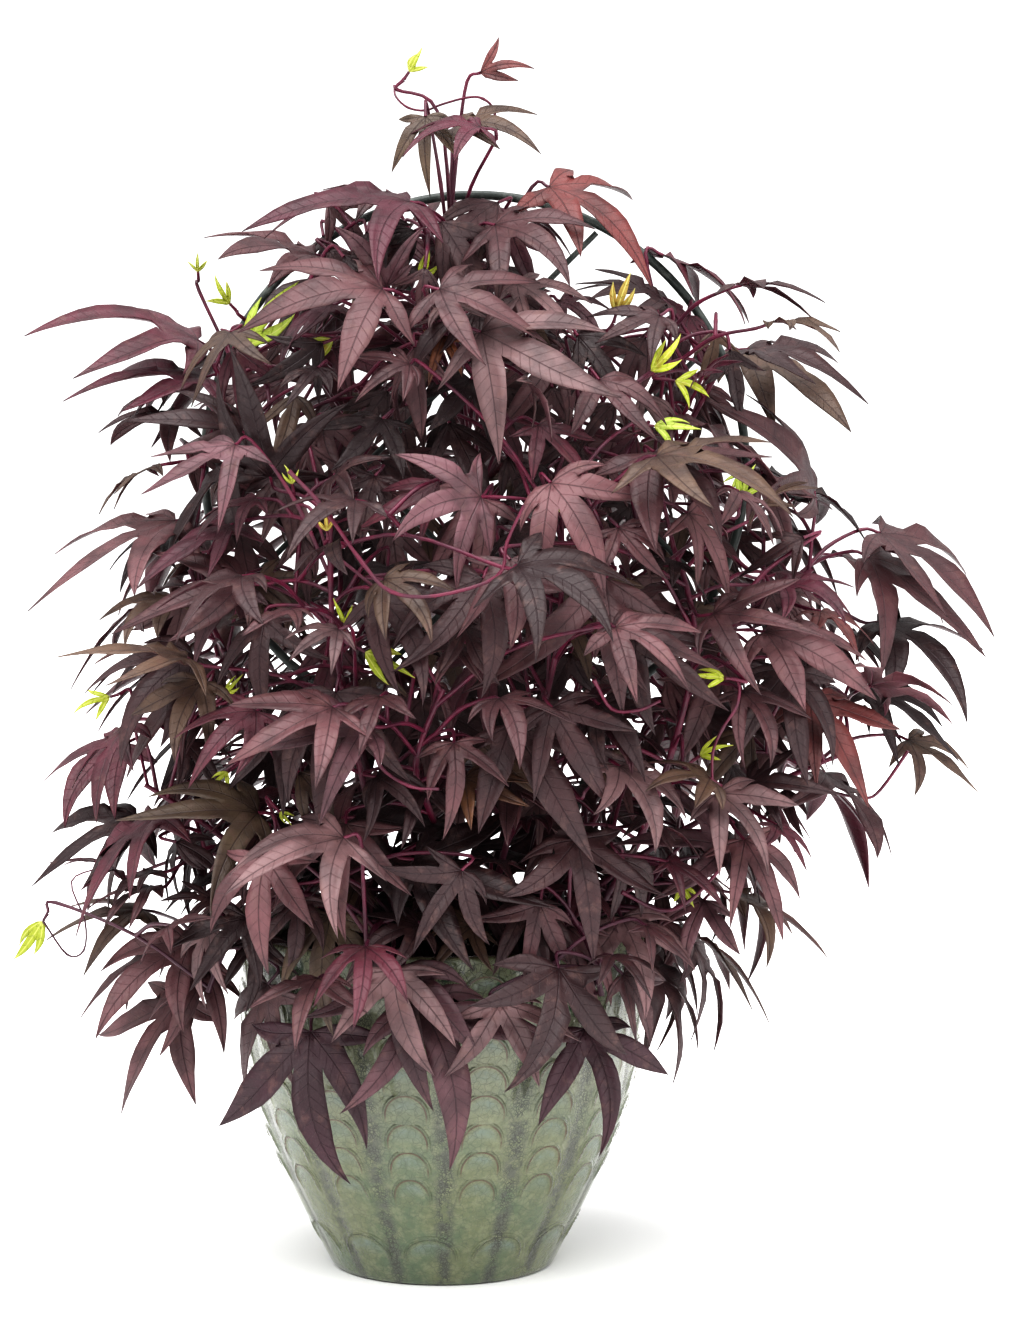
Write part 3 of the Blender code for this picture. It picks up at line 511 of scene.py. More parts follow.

# The colours noted for leaves of the picture, by their hubs. The brick red ones are painted backlight: light
# shining through the blade.
SPECIAL_COLOURS = {
    (422, 993): ROSE,
    (405, 958): (0.060, 0.024, 0.030),
    (315, 1018): (0.046, 0.016, 0.024),
    (584, 1015): (0.050, 0.018, 0.026),
    (480, 73): BACKLIT_BRICK,
    (481, 131): MAROON,
    (426, 118): OLIVE,
    (410, 202): MAROON,
    (386, 286): ROSE,
    (549, 187): BACKLIT_BRICK,
    (333, 305): MAROON,
    (443, 336): (0.200, 0.070, 0.030),
    (202, 377): MAROON,
    (242, 443): ROSE,
    (231, 525): MAROON,
    (236, 590): ROSE,
    (258, 813): OLIVE,
    (481, 497): ROSE,
    (690, 315): MAROON,
    (704, 376): MAROON,
    (780, 584): MAROON,
    (810, 700): BACKLIT_BRICK,
    (821, 612): BACKLIT_BRICK,
    (726, 846): ROSE,
    (704, 900): ROSE,
    (115, 865): MAROON,
    (368, 721): ROSE,
    (331, 916): OLIVE,
    (465, 781): (0.130, 0.060, 0.030),
}

# Coats of colour, linear. Over a blade's own colour: (patches from low to high, of a noise with this
# scale, detail and roughness), share and colour.
BLADE_COATS = (
    ((0.38, 0.66, 36.0, 4.0), 0.55, (0.022, 0.010, 0.012)),
    ((0.52, 0.74, 90.0, 4.0, 0.65), 0.40, (0.155, 0.082, 0.072)),
    ((0.55, 0.75, 600.0, 2.0), 0.10, (0.200, 0.130, 0.140)),
)
VEIN_COLOUR = (0.016, 0.008, 0.012)
RIB_COLOUR = (0.024, 0.010, 0.014)
UNDERSIDE_RIB = (0.170, 0.050, 0.080)
YOUNG_UNDERSIDE = (0.200, 0.240, 0.040)
YOUNG_BRONZE = (0.330, 0.150, 0.050)
YOUNG_VEIN = (0.250, 0.290, 0.030)
YOUNG_RIB = (0.560, 0.560, 0.180)
WIRE_DARK = (0.045, 0.055, 0.050)
WIRE_WORN = (0.110, 0.122, 0.112)
SOIL_WET = (0.012, 0.008, 0.006)
SOIL_DRY = (0.052, 0.034, 0.022)
GRAIN_GREY = (0.30, 0.27, 0.23)
GRAIN_PALE = (0.75, 0.72, 0.66)
GLAZE_OLIVE = (0.122, 0.138, 0.072)
GLAZE_PALE = (0.200, 0.205, 0.138)
GLAZE_CLOUD = (0.222, 0.232, 0.142)
GLAZE_SPECK = (0.080, 0.100, 0.060)
# Painted reflection: dark green blotches near the pot's top stand in for the leaves mirrored in the glaze.
GLAZE_LEAF_REFLECTION = (0.012, 0.050, 0.022)
GLAZE_CRACK = (0.050, 0.054, 0.040)
GLAZE_RIM = (0.110, 0.085, 0.045)
GLAZE_COAT = {"Coat Weight": 0.5, "Coat Roughness": 0.05}

# Fine relief, in metres, and the lie of veins, ridges and cracks.
BLADE_RELIEF = 0.0004
YOUNG_RELIEF = 0.0003
GLAZE_RELIEF = 0.0011
VEIN_LEAN = -0.9
VEIN_SHARE = 0.06
OLD_STEM = 0.12
WHOLE_TURNS = 40
CREST_WIDTH = 0.0014
ECHO_AWAY = 0.0042
CRACK_WANDER = 0.004

# The stage: a floor just under the foot, a broad sun and a softer light from the right.
FLOOR_HALF = 6.0
FLOOR_HEIGHT = -0.0002
KEY_PLACE = (-0.35, -0.90, 3.0)
KEY_ANGLE = math.radians(75)
FILL_PLACE = (1.9, -1.5, 1.2)
FILL_SIZE = 1.4

UP = Vector((0.0, 0.0, 1.0))


def outward_at(azimuth, rise=0.0):
    """The way out from the pot's axis at an azimuth."""
    return Vector((math.cos(azimuth), math.sin(azimuth), rise))


def placed(name, data):
    """A new object in the scene."""
    item = bpy.data.objects.new(name, data)
    bpy.context.scene.collection.objects.link(item)
    return item


def built(item):
    """The mesh that an object becomes with its modifiers."""
    bpy.context.view_layer.update()
    graph = bpy.context.evaluated_depsgraph_get()
    return bpy.data.meshes.new_from_object(item.evaluated_get(graph))


def box_round(points, margin=0.0):
    """The lowest and the highest corner of a box round some points."""
    low = Vector(min(point[i] for point in points) - margin for i in range(3))
    high = Vector(max(point[i] for point in points) + margin for i in range(3))
    return low, high


def in_triangles(shape, mesh):
    """Writes a closed shape into a mesh, in triangles that face outwards."""
    bmesh.ops.recalc_face_normals(shape, faces=shape.faces)
    bmesh.ops.triangulate(shape, faces=shape.faces)
    shape.to_mesh(mesh)
    shape.free()
    return mesh


def curve_along(name, routes):
    """A curve of straight stretches along each route, which is (points, radii)."""
    curve = bpy.data.curves.new(name, "CURVE")
    curve.dimensions = "3D"
    for points, radii in routes:
        spline = curve.splines.new("POLY")
        spline.points.add(len(points) - 1)
        for place, point, radius in zip(spline.points, points, radii):
            place.co = (*point, 1.0)
            place.radius = radius
    return curve


def smooth_route(points, steps):
    """Points on a Catmull-Rom curve through the given ones, `steps` to each stretch."""
    padded = [points[0] * 2 - points[1], *points, points[-1] * 2 - points[-2]]
    route = []
    for a, b, c, d in zip(padded, padded[1:], padded[2:], padded[3:]):
        for step in range(steps):
            t = step / steps
            square = (2 * a - 5 * b + 4 * c - d) * t * t
            cube = (3 * b - a - 3 * c + d) * t**3
            route.append((2 * b + (c - a) * t + square + cube) / 2)
    return [*route, points[-1]]


def tube_mesh(name, points, radii, resolution):
    """A round bar along the points, as a closed mesh."""
    curve = curve_along(name, [(points, radii)])
    curve.bevel_depth = 1.0
    curve.bevel_resolution = resolution
    curve.use_fill_caps = True
    guide = placed(name, curve)
    mesh = built(guide)
    bpy.data.objects.remove(guide)
    shape = bmesh.new()
    shape.from_mesh(mesh)
    bmesh.ops.remove_doubles(shape, verts=shape.verts, dist=CAP_WELD)
    return in_triangles(shape, mesh)


def hoop_point(angle):
    """A point on the hoop, `angle` from its top towards +X."""
    return HOOP_CENTRE + HOOP_RADIUS * Vector((math.sin(angle), 0.0, math.cos(angle)))


def leg_feet():
    return [(HOOP_CENTRE.x + side * LEG_SPREAD, HOOP_CENTRE.y) for side in (-1, 1)]


def hoop_route():
    """Up one leg, round the hoop and down the other leg."""
    arc = [hoop_point(HOOP_ARC_END * (2 * step / HOOP_STEPS - 1)) for step in range(HOOP_STEPS + 1)]
    feet = [Vector((x, y, SOIL_LEVEL - LEG_DEPTH)) for x, y in leg_feet()]
    knees = [Vector((foot.x, foot.y, SOIL_LEVEL + LEG_KNEE)) for foot in feet]
    ankles = [Vector((foot.x, foot.y, SOIL_LEVEL + LEG_ANKLE)) for foot in feet]
    left = smooth_route([ankles[0], knees[0], arc[0], arc[1]], 3)[:-4]
    right = smooth_route([arc[-2], arc[-1], knees[1], ankles[1]], 3)[4:]
    return [feet[0], *left, *arc, *right, feet[1]]


def lattice_rods():
    """Two rods each way; each runs between two points just inside the hoop."""
    rods = {}
    half = math.sqrt((HOOP_RADIUS - HOOP_TUBE) ** 2 - ROD_OFFSET**2) - ROD_END_GAP
    for way, lean, layer in (("left", -1, -ROD_LAYER), ("right", 1, ROD_LAYER)):
        along = Vector((lean, 0.0, 1.0)).normalized()
        across = Vector((1.0, 0.0, -lean)).normalized()
        for place, offset in (("low", -ROD_OFFSET * lean), ("high", ROD_OFFSET * lean)):
            middle = HOOP_CENTRE + across * offset + Vector((0.0, layer, 0.0))
            rods[f"trellis_rod_{way}_{place}"] = (middle - along * half, middle + along * half)
    return rods


def crown_at(height):
    """(half width, middle) of the crown of leaves at a height."""
    for low, high in zip(CROWN, CROWN[1:]):
        if height <= high[0] or high is CROWN[-1]:
            share = min(1.0, max(0.0, (height - low[0]) / (high[0] - low[0])))
            return tuple(a + (b - a) * share for a, b in zip(low[1:], high[1:]))


def sight(pixel):
    """The eye, and the direction in which it sees a pixel, scaled to 1 along its axis."""
    tilt_sin, tilt_cos = math.sin(EYE_TILT), math.cos(EYE_TILT)
    forward = Vector((0.0, tilt_cos, -tilt_sin))
    upward = Vector((0.0, tilt_sin, tilt_cos))
    right = (pixel[0] - PICTURE_CENTRE[0]) / PIXELS_PER_TANGENT
    up = (PICTURE_CENTRE[1] - pixel[1]) / PIXELS_PER_TANGENT
    return EYE_TARGET - forward * EYE_DISTANCE, forward + upward * up + Vector((right, 0.0, 0.0))


def seen_at(pixel, depth):
    """The point that a pixel shows, at a given Y."""
    eye, ray = sight(pixel)
    return eye + ray * ((depth - eye.y) / ray.y)


def front_depth(pixel):
    """The Y of the crown's front surface behind a pixel."""
    point = seen_at(pixel, 0.0)
    half, middle = crown_at(point.z)
    inside = max(0.0, half**2 - (point.x - middle) ** 2)
    return -CROWN_DEPTH_SHARE * math.sqrt(inside) * PORTRAIT_SINK


class Leaf:
    """A blade's place: its hub, the way its main lobe points, the way it faces, and its size."""

    def __init__(self, hub, along, facing, length, lobes=LOBES):
        self.hub = hub
        self.along = along.normalized()
        self.facing = (facing - self.along * facing.dot(self.along)).normalized()
        self.side = self.facing.cross(self.along)
        self.length = length
        self.lobes = lobes

    def moved(self, offset):
        return Leaf(self.hub + offset, self.along, self.facing, self.length, self.lobes)

    def ways(self, angle):
        """The way out along a lobe at this angle, and the way across it."""
        out = math.cos(angle) * self.along + math.sin(angle) * self.side
        return out, math.cos(angle) * self.side - math.sin(angle) * self.along

    def point(self, angle, reach, share, across, fold):
        """A point of a lobe: `share` of the way out, `across` to its side."""
        out, aside = self.ways(angle)
        lift = reach * (LOBE_RISE * share - LOBE_DROOP * share * share) + fold
        return self.hub + out * (reach * share) + aside * across + self.facing * lift


def blade_surface(leaf):
    """A lobed sheet: a fan of lobes round the hub, split by notches. Its faces look along facing."""
    points = [leaf.hub]
    faces = []
    angles = [lobe[0] for lobe in leaf.lobes]
    edges = [angles[0] - SINUS_MARGIN]
    edges += [(a + b) / 2 for a, b in zip(angles, angles[1:])]
    edges += [angles[-1] + SINUS_MARGIN]
    for angle in edges:
        reach = leaf.length * SINUS_SHARE * (0.5 if angle in (edges[0], edges[-1]) else 1.0)
        points.append(leaf.point(angle, reach, 1.0, 0.0, reach * 0.2))
    for place, (angle, share, width) in enumerate(leaf.lobes):
        reach = leaf.length * share
        half = leaf.length * width
        left_notch, right_notch = 1 + place, 2 + place
        tip = len(points)
        left, right, rib = tip + 1, tip + 2, tip + 3
        points.append(leaf.point(angle, reach, 1.0, 0.0, 0.0))
        if not half:
            faces += [(0, left_notch, right_notch), (left_notch, tip, right_notch)]
            continue
        points.append(leaf.point(angle, reach, WIDEST, -half, half * RIB_FOLD))
        points.append(leaf.point(angle, reach, WIDEST, half, half * RIB_FOLD))
        faces += [(0, left_notch, left), (0, right, right_notch)]
        if angle:
            faces += [(0, left, right), (left, tip, right)]
        else:
            points.append(leaf.point(angle, reach, WIDEST, 0.0, 0.0))
            faces += [(0, left, rib), (0, rib, right), (left, tip, rib), (rib, tip, right)]
            middle_rib = rib
    return points, faces, middle_rib


def stalk_rings(leaf, route, radius):
    """Three-cornered rings along a stalk, each turned as little as may be from the one at the hub."""
    upward = leaf.facing
    heading = leaf.along
    rings = []
    for place in range(len(route) - 1, -1, -1):
        if place < len(route) - 1:
            onward = (route[place + 1] - route[max(0, place - 1)]).normalized()
            turn = heading.rotation_difference(onward)
            upward = turn @ upward
            heading = onward
        sideways = upward.cross(heading)
        crest = route[place] + upward * radius
        below = route[place] - upward * radius * 0.6
        rings.append([crest, below - sideways * radius, below + sideways * radius])
    return rings


def leaf_mesh(name, leaf, thickness, stalk, radius):
    """One body: the lobed sheet with its thickness, and the stalk that its hub grows out of."""
    points, faces, rib = blade_surface(leaf)
    normals = [Vector() for _ in points]
    for face in faces:
        a, b, c = (points[i] for i in face)
        for i in face:
            normals[i] += (b - a).cross(c - a)
    shape = bmesh.new()
    lifts = [normal.normalized() * (thickness / 2) for normal in normals]
    over = [shape.verts.new(point + lift) for point, lift in zip(points, lifts)]
    under = [shape.verts.new(point - lift) for point, lift in zip(points, lifts)]
    rings = [[shape.verts.new(corner) for corner in ring] for ring in stalk_rings(leaf, stalk, radius)]
    hub_top, hub_left, hub_right = rings[0]
    over[0], spare_top = hub_top, over[0]
    bmesh.ops.delete(shape, geom=[spare_top, under[0]], context="VERTS")
    borders = {(face[i], face[(i + 1) % 3]) for face in faces for i in range(3)}
    for face in faces:
        aside = sum((points[i] - leaf.hub).dot(leaf.side) for i in face)
        under[0] = hub_left if aside < 0 else hub_right
        shape.faces.new([over[i] for i in face])
        shape.faces.new([under[i] for i in reversed(face)])
        for a, b in zip(face, (*face[1:], face[0])):
            if (b, a) not in borders:
                shape.faces.new([over[a], under[a], under[b], over[b]])
    shape.faces.new([hub_left, under[rib], hub_right])
    for near, far in zip(rings, rings[1:]):
        for i in range(3):
            shape.faces.new([near[i], near[(i + 1) % 3], far[(i + 1) % 3], far[i]])
    shape.faces.new(rings[-1])
    return in_triangles(shape, bpy.data.meshes.new(name))


class Obstacle:
    """A finished piece, with the box and the tree that show what comes near it."""

    def __init__(self, owner, kind, mesh):
        points = [vertex.co.copy() for vertex in mesh.vertices]
        self.owner = owner
        self.kind = kind
        self.low, self.high = box_round(points)
        self.tree = BVHTree.FromPolygons(points, [tuple(face.vertices) for face in mesh.polygons])

    def near(self, low, high):
        return all(self.low[i] < high[i] and self.high[i] > low[i] for i in range(3))


class Plant:
    """Everything grown or standing so far, so that the next piece can be moved clear of it."""

    def __init__(self):
        self.obstacles = []
        self.leaves = []
        self.routes = []
        self.rows = LOBE_ROWS
        self.branch_reach = 0.0

    def keep_off(self, *names):
        """Has what grows later stay clear of these solids of the frame."""
        for name in names:
            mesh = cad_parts[name].data.copy()
            mesh.transform(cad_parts[name].matrix_world)
            self.add(name, "solid", mesh)

    def add(self, owner, kind, mesh):
        self.obstacles.append(Obstacle(owner, kind, mesh))
        bpy.data.meshes.remove(mesh)

    def blade_is_clear(self, mesh, owner):
        """No other leaf crosses it, and no stem of another vine does."""
        test = Obstacle(owner, "leaf", mesh)
        for other in self.obstacles:
            own_stem = other.owner == owner and other.kind == "stem"
            if not own_stem and other.near(test.low, test.high) and test.tree.overlap(other.tree):
                return False
        return True

    def route_is_clear(self, points, radius, owner):
        """No piece of another vine comes within reach of a tube, and no leaf of its own but at its start."""
        margin = radius + CLEARANCE
        samples = []
        for a, b in zip(points, points[1:]):
            steps = max(1, int((b - a).length / SAMPLE_SPACING))
            samples += [a.lerp(b, step / steps) for step in range(steps + 1)]
        low, high = box_round(samples, margin)
        for other in self.obstacles:
            if (other.owner == owner and other.kind == "stem") or not other.near(low, high):
                continue
            tested = samples
            if other.owner == owner:
                tested = [sample for sample in samples if (sample - points[0]).length >= self.branch_reach]
            if any(other.tree.find_nearest(sample, margin)[0] for sample in tested):
                return False
        return True


def vine_route(points):
    """A vine's stem from its foot in the soil, in metres."""
    above = [Vector(point) / 1000 for point in points]
    foot = above[0] - UP * STEM_DEPTH
    rise = above[0] + UP * 0.018
    return [foot, *smooth_route([rise, *above[1:]], 2)]


class Joint:
    """A place on a stem where one leaf's stalk may start."""

    def __init__(self, owner, point):
        self.owner = owner
        self.point = point
        self.free = True


def nearest_joints(joints, hub):
    """The free joints that a leaf's stalk could start from, nearest first."""
    found = []
    for joint in joints:
        reach = (hub - joint.point).length
        if joint.free and STALK_REACH[0] < reach < STALK_REACH[1]:
            found.append((reach + max(0.0, joint.point.z - hub.z), joint))
    return [joint for reach, joint in sorted(found, key=lambda entry: entry[0])]


def stalk_route(start, leaf):
    """The stalk leaves its stem rising, and comes to the blade's hub from behind."""
    back = leaf.hub - leaf.along * 0.012 - leaf.facing * 0.004
    bend = start.lerp(back, STALK_BEND) + UP * (0.10 * (back - start).length)
    return [start, bend, back, leaf.hub]


def portrait_leaf(hub, tip, length_mm, turn):
    """A leaf whose hub and tip are seen at two pixels: the rest of its length is depth."""
    length = length_mm / 1000
    start = seen_at(hub, front_depth(hub))
    flat = seen_at(tip, start.y) - start
    lean = math.sqrt(max(0.0, length**2 - flat.length_squared))
    middle = crown_at(start.z)[1]
    outward = Vector((start.x - middle, start.y / CROWN_DEPTH_SHARE, 0.0)).normalized()
    viewer = (outward + Vector((0.0, -1.6, 0.5))).normalized()
    facing = viewer * turn + UP * (1.0 - turn)
    lobes = YOUNG_LOBES if hub in THREE_LOBED else LOBES
    return Leaf(start, flat + Vector((0.0, -lean, 0.0)), facing, length, lobes)


def hidden_leaf(index, draw):
    """A leaf on the spiral round the sides and back, drooping outwards."""
    share = (index + 0.5) / HIDDEN_LEAVES
    height = HIDDEN_LOW + (HIDDEN_HIGH - HIDDEN_LOW) * share
    low, high = HIDDEN_ARC
    azimuth = low + (index * GOLDEN_ANGLE) % (high - low)
    half, middle = crown_at(height)
    outward = outward_at(azimuth)
    place = Vector((outward.x, outward.y * CROWN_DEPTH_SHARE, 0.0)) * half
    hub = place * draw.uniform(0.90, 1.0) + Vector((middle, 0.0, height + draw.uniform(-0.01, 0.01)))
    tangent = Vector((-outward.y, outward.x, 0.0))
    droop = UP * draw.uniform(0.25, 0.95)
    along = outward * draw.uniform(0.5, 1.0) + tangent * draw.uniform(-0.7, 0.7) - droop
    facing = outward * draw.uniform(0.3, 0.8) + UP
    return Leaf(hub, along, facing, draw.uniform(*HIDDEN_REACH))


def depth_offsets():
    """Moves to try for a leaf that faces the viewer: away and near in turn, ever further."""
    moves = [step * DEPTH_STEP * sign for step in range(1, DEPTH_STEPS + 1) for sign in (1, -1)]
    return [Vector((0.0, move, 0.0)) for move in (0.0, *moves)]


def outward_offsets(leaf):
    """Moves to try for a leaf at the side or back: in, out, up and down."""
    flat = Vector((leaf.hub.x, leaf.hub.y, 0.0)).normalized()
    rise = UP * RISE_STEP
    return [flat * (-INWARD_STEP * i) + rise * j for i in range(4) for j in (0, 1, -1, 2, -2)]


class LeafLooks(bpy.types.PropertyGroup):
    """How the leaves and stems are finished."""

    thickness: FloatProperty(
        name="Blade thickness", description="Thickness of a leaf blade", default=0.0006, unit="LENGTH"
    )
    wave: FloatProperty(
        name="Wave", description="How much the blades' edges wave, as a share of their width", default=0.16
    )
    roughness: FloatProperty(name="Roughness", description="Roughness of the leaves", default=0.46)
    rib_width: FloatProperty(
        name="Rib width", description="Width of a blade's middle rib", default=0.0007, unit="LENGTH"
    )
    vein_spacing: FloatProperty(
        name="Vein spacing", description="Distance between side veins", default=0.0075, unit="LENGTH"
    )
    stem_colour: FloatVectorProperty(
        name="Stem colour",
        description="Colour of young stems",
        subtype="COLOR",
        default=(0.140, 0.018, 0.046),
    )
    old_stem_colour: FloatVectorProperty(
        name="Old stem colour",
        description="Colour of stems near the soil",
        subtype="COLOR",
        default=(0.050, 0.016, 0.028),
    )


class PotLooks(bpy.types.PropertyGroup):
    """The relief and the glaze of the pot."""

    columns: IntProperty(name="Columns", description="Columns of scales round the pot", default=16)
    ridge_height: FloatProperty(
        name="Ridge height", description="How far a scale's edge stands out", default=0.0013, unit="LENGTH"
    )
    ridge_width: FloatProperty(
        name="Ridge width", description="Width of a scale's edge", default=0.0011, unit="LENGTH"
    )
    glaze_colour: FloatVectorProperty(
        name="Glaze", description="Main colour of the glaze", subtype="COLOR", default=(0.090, 0.123, 0.070)
    )
    pool_colour: FloatVectorProperty(
        name="Pools",
        description="Colour where the glaze lies thick",
        subtype="COLOR",
        default=(0.128, 0.168, 0.142),
    )
    ridge_colour: FloatVectorProperty(
        name="Edges",
        description="Colour where the glaze runs thin",
        subtype="COLOR",
        default=(0.090, 0.050, 0.032),
    )
    streak_colour: FloatVectorProperty(
        name="Streaks",
        description="Colour of the streaks between columns",
        subtype="COLOR",
        default=(0.084, 0.087, 0.073),
    )


class StageLooks(bpy.types.PropertyGroup):
    """The floor, the backdrop and the lights."""

    floor_shade: FloatProperty(name="Floor shade", description="How pale the floor is", default=0.98)
    backdrop_power: FloatProperty(
        name="Backdrop", description="Brightness of the pale backdrop behind the plant", default=1.05
    )
    sky_power: FloatProperty(name="Sky", description="Strength of the light from all sides", default=0.80)
    key_power: FloatProperty(name="Key light", description="Strength of the main light", default=3.5)
    fill_power: FloatProperty(
        name="Fill light", description="Power of the light from the right", default=12.0, unit="POWER"
    )


def connect(tree, sockets, values):
    """Links each value that another node gives, and sets the others."""
    for name, value in values.items():
        if isinstance(value, Value):
            value = value.socket
        if isinstance(value, bpy.types.NodeSocket):
            tree.links.new(value, sockets[name])
        else:
            sockets[name].default_value = value


def node(tree, kind, inputs=None, **settings):
    """A new node, with its settings and its inputs."""
    made = tree.nodes.new(kind)
    for name, value in settings.items():
        setattr(made, name, value)
    connect(tree, made.inputs, inputs or {})
    return made


class Value:
    """A number that a node gives. Each sum with it adds a node to the same tree."""

    def __init__(self, tree, socket):
        self.tree = tree
        self.socket = socket

    def maths(self, operation, *others):
        inputs = dict(enumerate((self, *others)))
        return Value(self.tree, node(self.tree, "ShaderNodeMath", inputs, operation=operation).outputs[0])

    def __add__(self, other):
        return self.maths("ADD", other)

    def __sub__(self, other):
        return self.maths("SUBTRACT", other)

    def __mul__(self, other):
        return self.maths("MULTIPLY", other)

    def __truediv__(self, other):
        return self.maths("DIVIDE", other)

    def __abs__(self):
        return self.maths("ABSOLUTE")

    def most(self, other):
        return self.maths("MAXIMUM", other)

    def scaled(self, factor, base):
        return self.maths("MULTIPLY_ADD", factor, base)

    def step(self, low, high, from_value=0.0, to_value=1.0):
        """A smooth step of the value from low to high."""
        inputs = {"Value": self, "From Min": low, "From Max": high, "To Min": from_value, "To Max": to_value}
        made = node(self.tree, "ShaderNodeMapRange", inputs, interpolation_type="SMOOTHSTEP")
        return Value(self.tree, made.outputs[0])

    def fall(self, low, high, from_value=1.0):
        """A smooth step down to nothing."""
        return self.step(low, high, from_value, 0.0)


def parts(tree, vector):
    """The three numbers of a vector."""
    return [Value(tree, part) for part in node(tree, "ShaderNodeSeparateXYZ", {0: vector}).outputs]


def new_group(name, kind, inputs, outputs):
    """A node group, its sockets named and of the given kinds, and what its inputs give."""
    group = bpy.data.node_groups.new(name, kind)
    for way, sockets in (("INPUT", inputs), ("OUTPUT", outputs)):
        for label, holds in sockets.items():
            group.interface.new_socket(label, in_out=way, socket_type=f"NodeSocket{holds}")
    return group, node(group, "NodeGroupInput").outputs


def opaque(colour):
    return (*colour, 1.0)


class Finish:
    """A new material, whose colour is laid on in coats."""

    def __init__(self, name, colour=(1.0, 1.0, 1.0)):
        self.material = bpy.data.materials.new(name)
        self.material.use_nodes = True
        self.tree = self.material.node_tree
        self.place = node(self.tree, "ShaderNodeTexCoord").outputs["Object"]
        self.base = opaque(colour)

    def noise(self, scale, detail=3.0, roughness=0.55):
        """A noise whose scale is in cells to a metre."""
        inputs = {"Vector": self.place, "Scale": scale, "Detail": detail, "Roughness": roughness}
        return Value(self.tree, node(self.tree, "ShaderNodeTexNoise", inputs).outputs[0])

    def patches(self, low, high, *grain):
        """Soft-edged patches: where a noise of this grain passes from low to high."""
        return self.noise(*grain).step(low, high)

    def coat(self, share, colour):
        """Lays a colour over the rest, where and as thick as its share says."""
        inputs = {0: share, 6: self.base, 7: opaque(colour)}
        self.base = node(self.tree, "ShaderNodeMix", inputs, data_type="RGBA").outputs[2]

    def done(self, roughness, relief=None, depth=0.0, more=None):
        """The material, with its roughness, its fine relief and any more of the shader's inputs."""
        looks = {"Base Color": self.base, "Roughness": roughness, **(more or {})}
        if relief:
            bumps = node(self.tree, "ShaderNodeBump", {"Height": relief, "Distance": depth, "Strength": 1.0})
            looks["Normal"] = bumps.outputs[0]
        connect(self.tree, self.tree.nodes["Principled BSDF"].inputs, looks)
        return self.material


def vein_group():
    """Masks of a blade's middle rib and side veins, from its own map: across and along, in metres."""
    takes = {"Rib width": "Float", "Spacing": "Float"}
    group, given = new_group("Leaf veins", "ShaderNodeTree", takes, {"Rib": "Float", "Veins": "Float"})
    across, along, _ = parts(group, node(group, "ShaderNodeUVMap", uv_map="blade").outputs[0])
    across = abs(across)
    turns = (along + across * VEIN_LEAN) / given["Spacing"]
    veins = abs(turns.maths("FRACT") - 0.5).fall(0.0, VEIN_SHARE)
    node(group, "NodeGroupOutput", {"Rib": across.fall(0.0, given["Rib width"]), "Veins": veins})
    return group


class LeafFinish(Finish):
    """A blade's finish, over the colour of its own leaf: an underside is washed with another."""

    def __init__(self, name, veins, looks, wash, wash_colour):
        super().__init__(name)
        self.base = node(self.tree, "ShaderNodeVertexColor", layer_name="leaf_colour").outputs[0]
        self.coat(wash, wash_colour)
        inputs = {"Rib width": looks.rib_width, "Spacing": looks.vein_spacing}
        lines = node(self.tree, "ShaderNodeGroup", inputs, node_tree=veins).outputs
        self.rib, self.veins = (Value(self.tree, lines[name]) for name in ("Rib", "Veins"))


def blade_material(name, veins, looks, redden, rib_colour, rib_share):
    """A leaf's finish: its own colour, mottled, with ribs and veins."""
    skin = LeafFinish(name, veins, looks, redden, MAROON)
    for grain, share, colour in BLADE_COATS:
        skin.coat(skin.patches(*grain) * share, colour)
    skin.coat(skin.veins * 0.22, VEIN_COLOUR)
    skin.coat(skin.rib * rib_share, rib_colour)
    grain = skin.noise(900.0, 2.0)
    roughness = grain.step(0.2, 0.8, looks.roughness - 0.06, looks.roughness + 0.12)
    skin.done(roughness, skin.veins * -0.5 + skin.rib * -0.8 + grain * 0.5, BLADE_RELIEF)


def young_material(name, veins, looks, darken):
    """A young leaf's lime green, bronze in patches, with pale ribs."""
    skin = LeafFinish(name, veins, looks, darken, YOUNG_UNDERSIDE)
    skin.coat(skin.patches(0.52, 0.70, 70.0) * 0.55, YOUNG_BRONZE)
    skin.coat(skin.veins * 0.30, YOUNG_VEIN)
    skin.coat(skin.rib * 0.60, YOUNG_RIB)
    skin.done(looks.roughness, skin.veins + skin.noise(800.0), YOUNG_RELIEF)


def stem_material(looks):
    """Magenta stems with darker streaks, old and brown near the soil."""
    skin = Finish("stem_skin", looks.old_stem_colour)
    young = parts(skin.tree, skin.place)[2].step(SOIL_LEVEL, SOIL_LEVEL + OLD_STEM)
    skin.coat(young * (skin.patches(0.38, 0.62, 60.0) * 0.65 + 0.35), looks.stem_colour)
    skin.done(0.33, skin.noise(500.0), 0.0003)


def wire_material():
    """Dark coated wire, paler where it is worn."""
    skin = Finish("wire_coating", WIRE_DARK)
    worn = skin.patches(0.45, 0.7, 90.0)
    skin.coat(worn, WIRE_WORN)
    return skin.done(worn.step(0.0, 1.0, 0.34, 0.52), skin.noise(700.0), 0.0002)


def soil_material():
    skin = Finish("potting_soil", SOIL_WET)
    skin.coat(skin.patches(0.35, 0.65, 160.0, 5.0), SOIL_DRY)
    return skin.done(0.95, skin.noise(300.0, 6.0), 0.003)


def grain_material():
    skin = Finish("pale_grains", GRAIN_GREY)
    skin.coat(skin.noise(250.0), GRAIN_PALE)
    return skin.done(0.9)


def column_aside(bearing, columns, first):
    """How far a bearing is from the middle of its column, in columns. Whole turns keep it above 0."""
    turn = ((bearing - first) / math.tau).scaled(columns, WHOLE_TURNS + 0.5)
    return abs(turn.maths("FRACT") - 0.5)


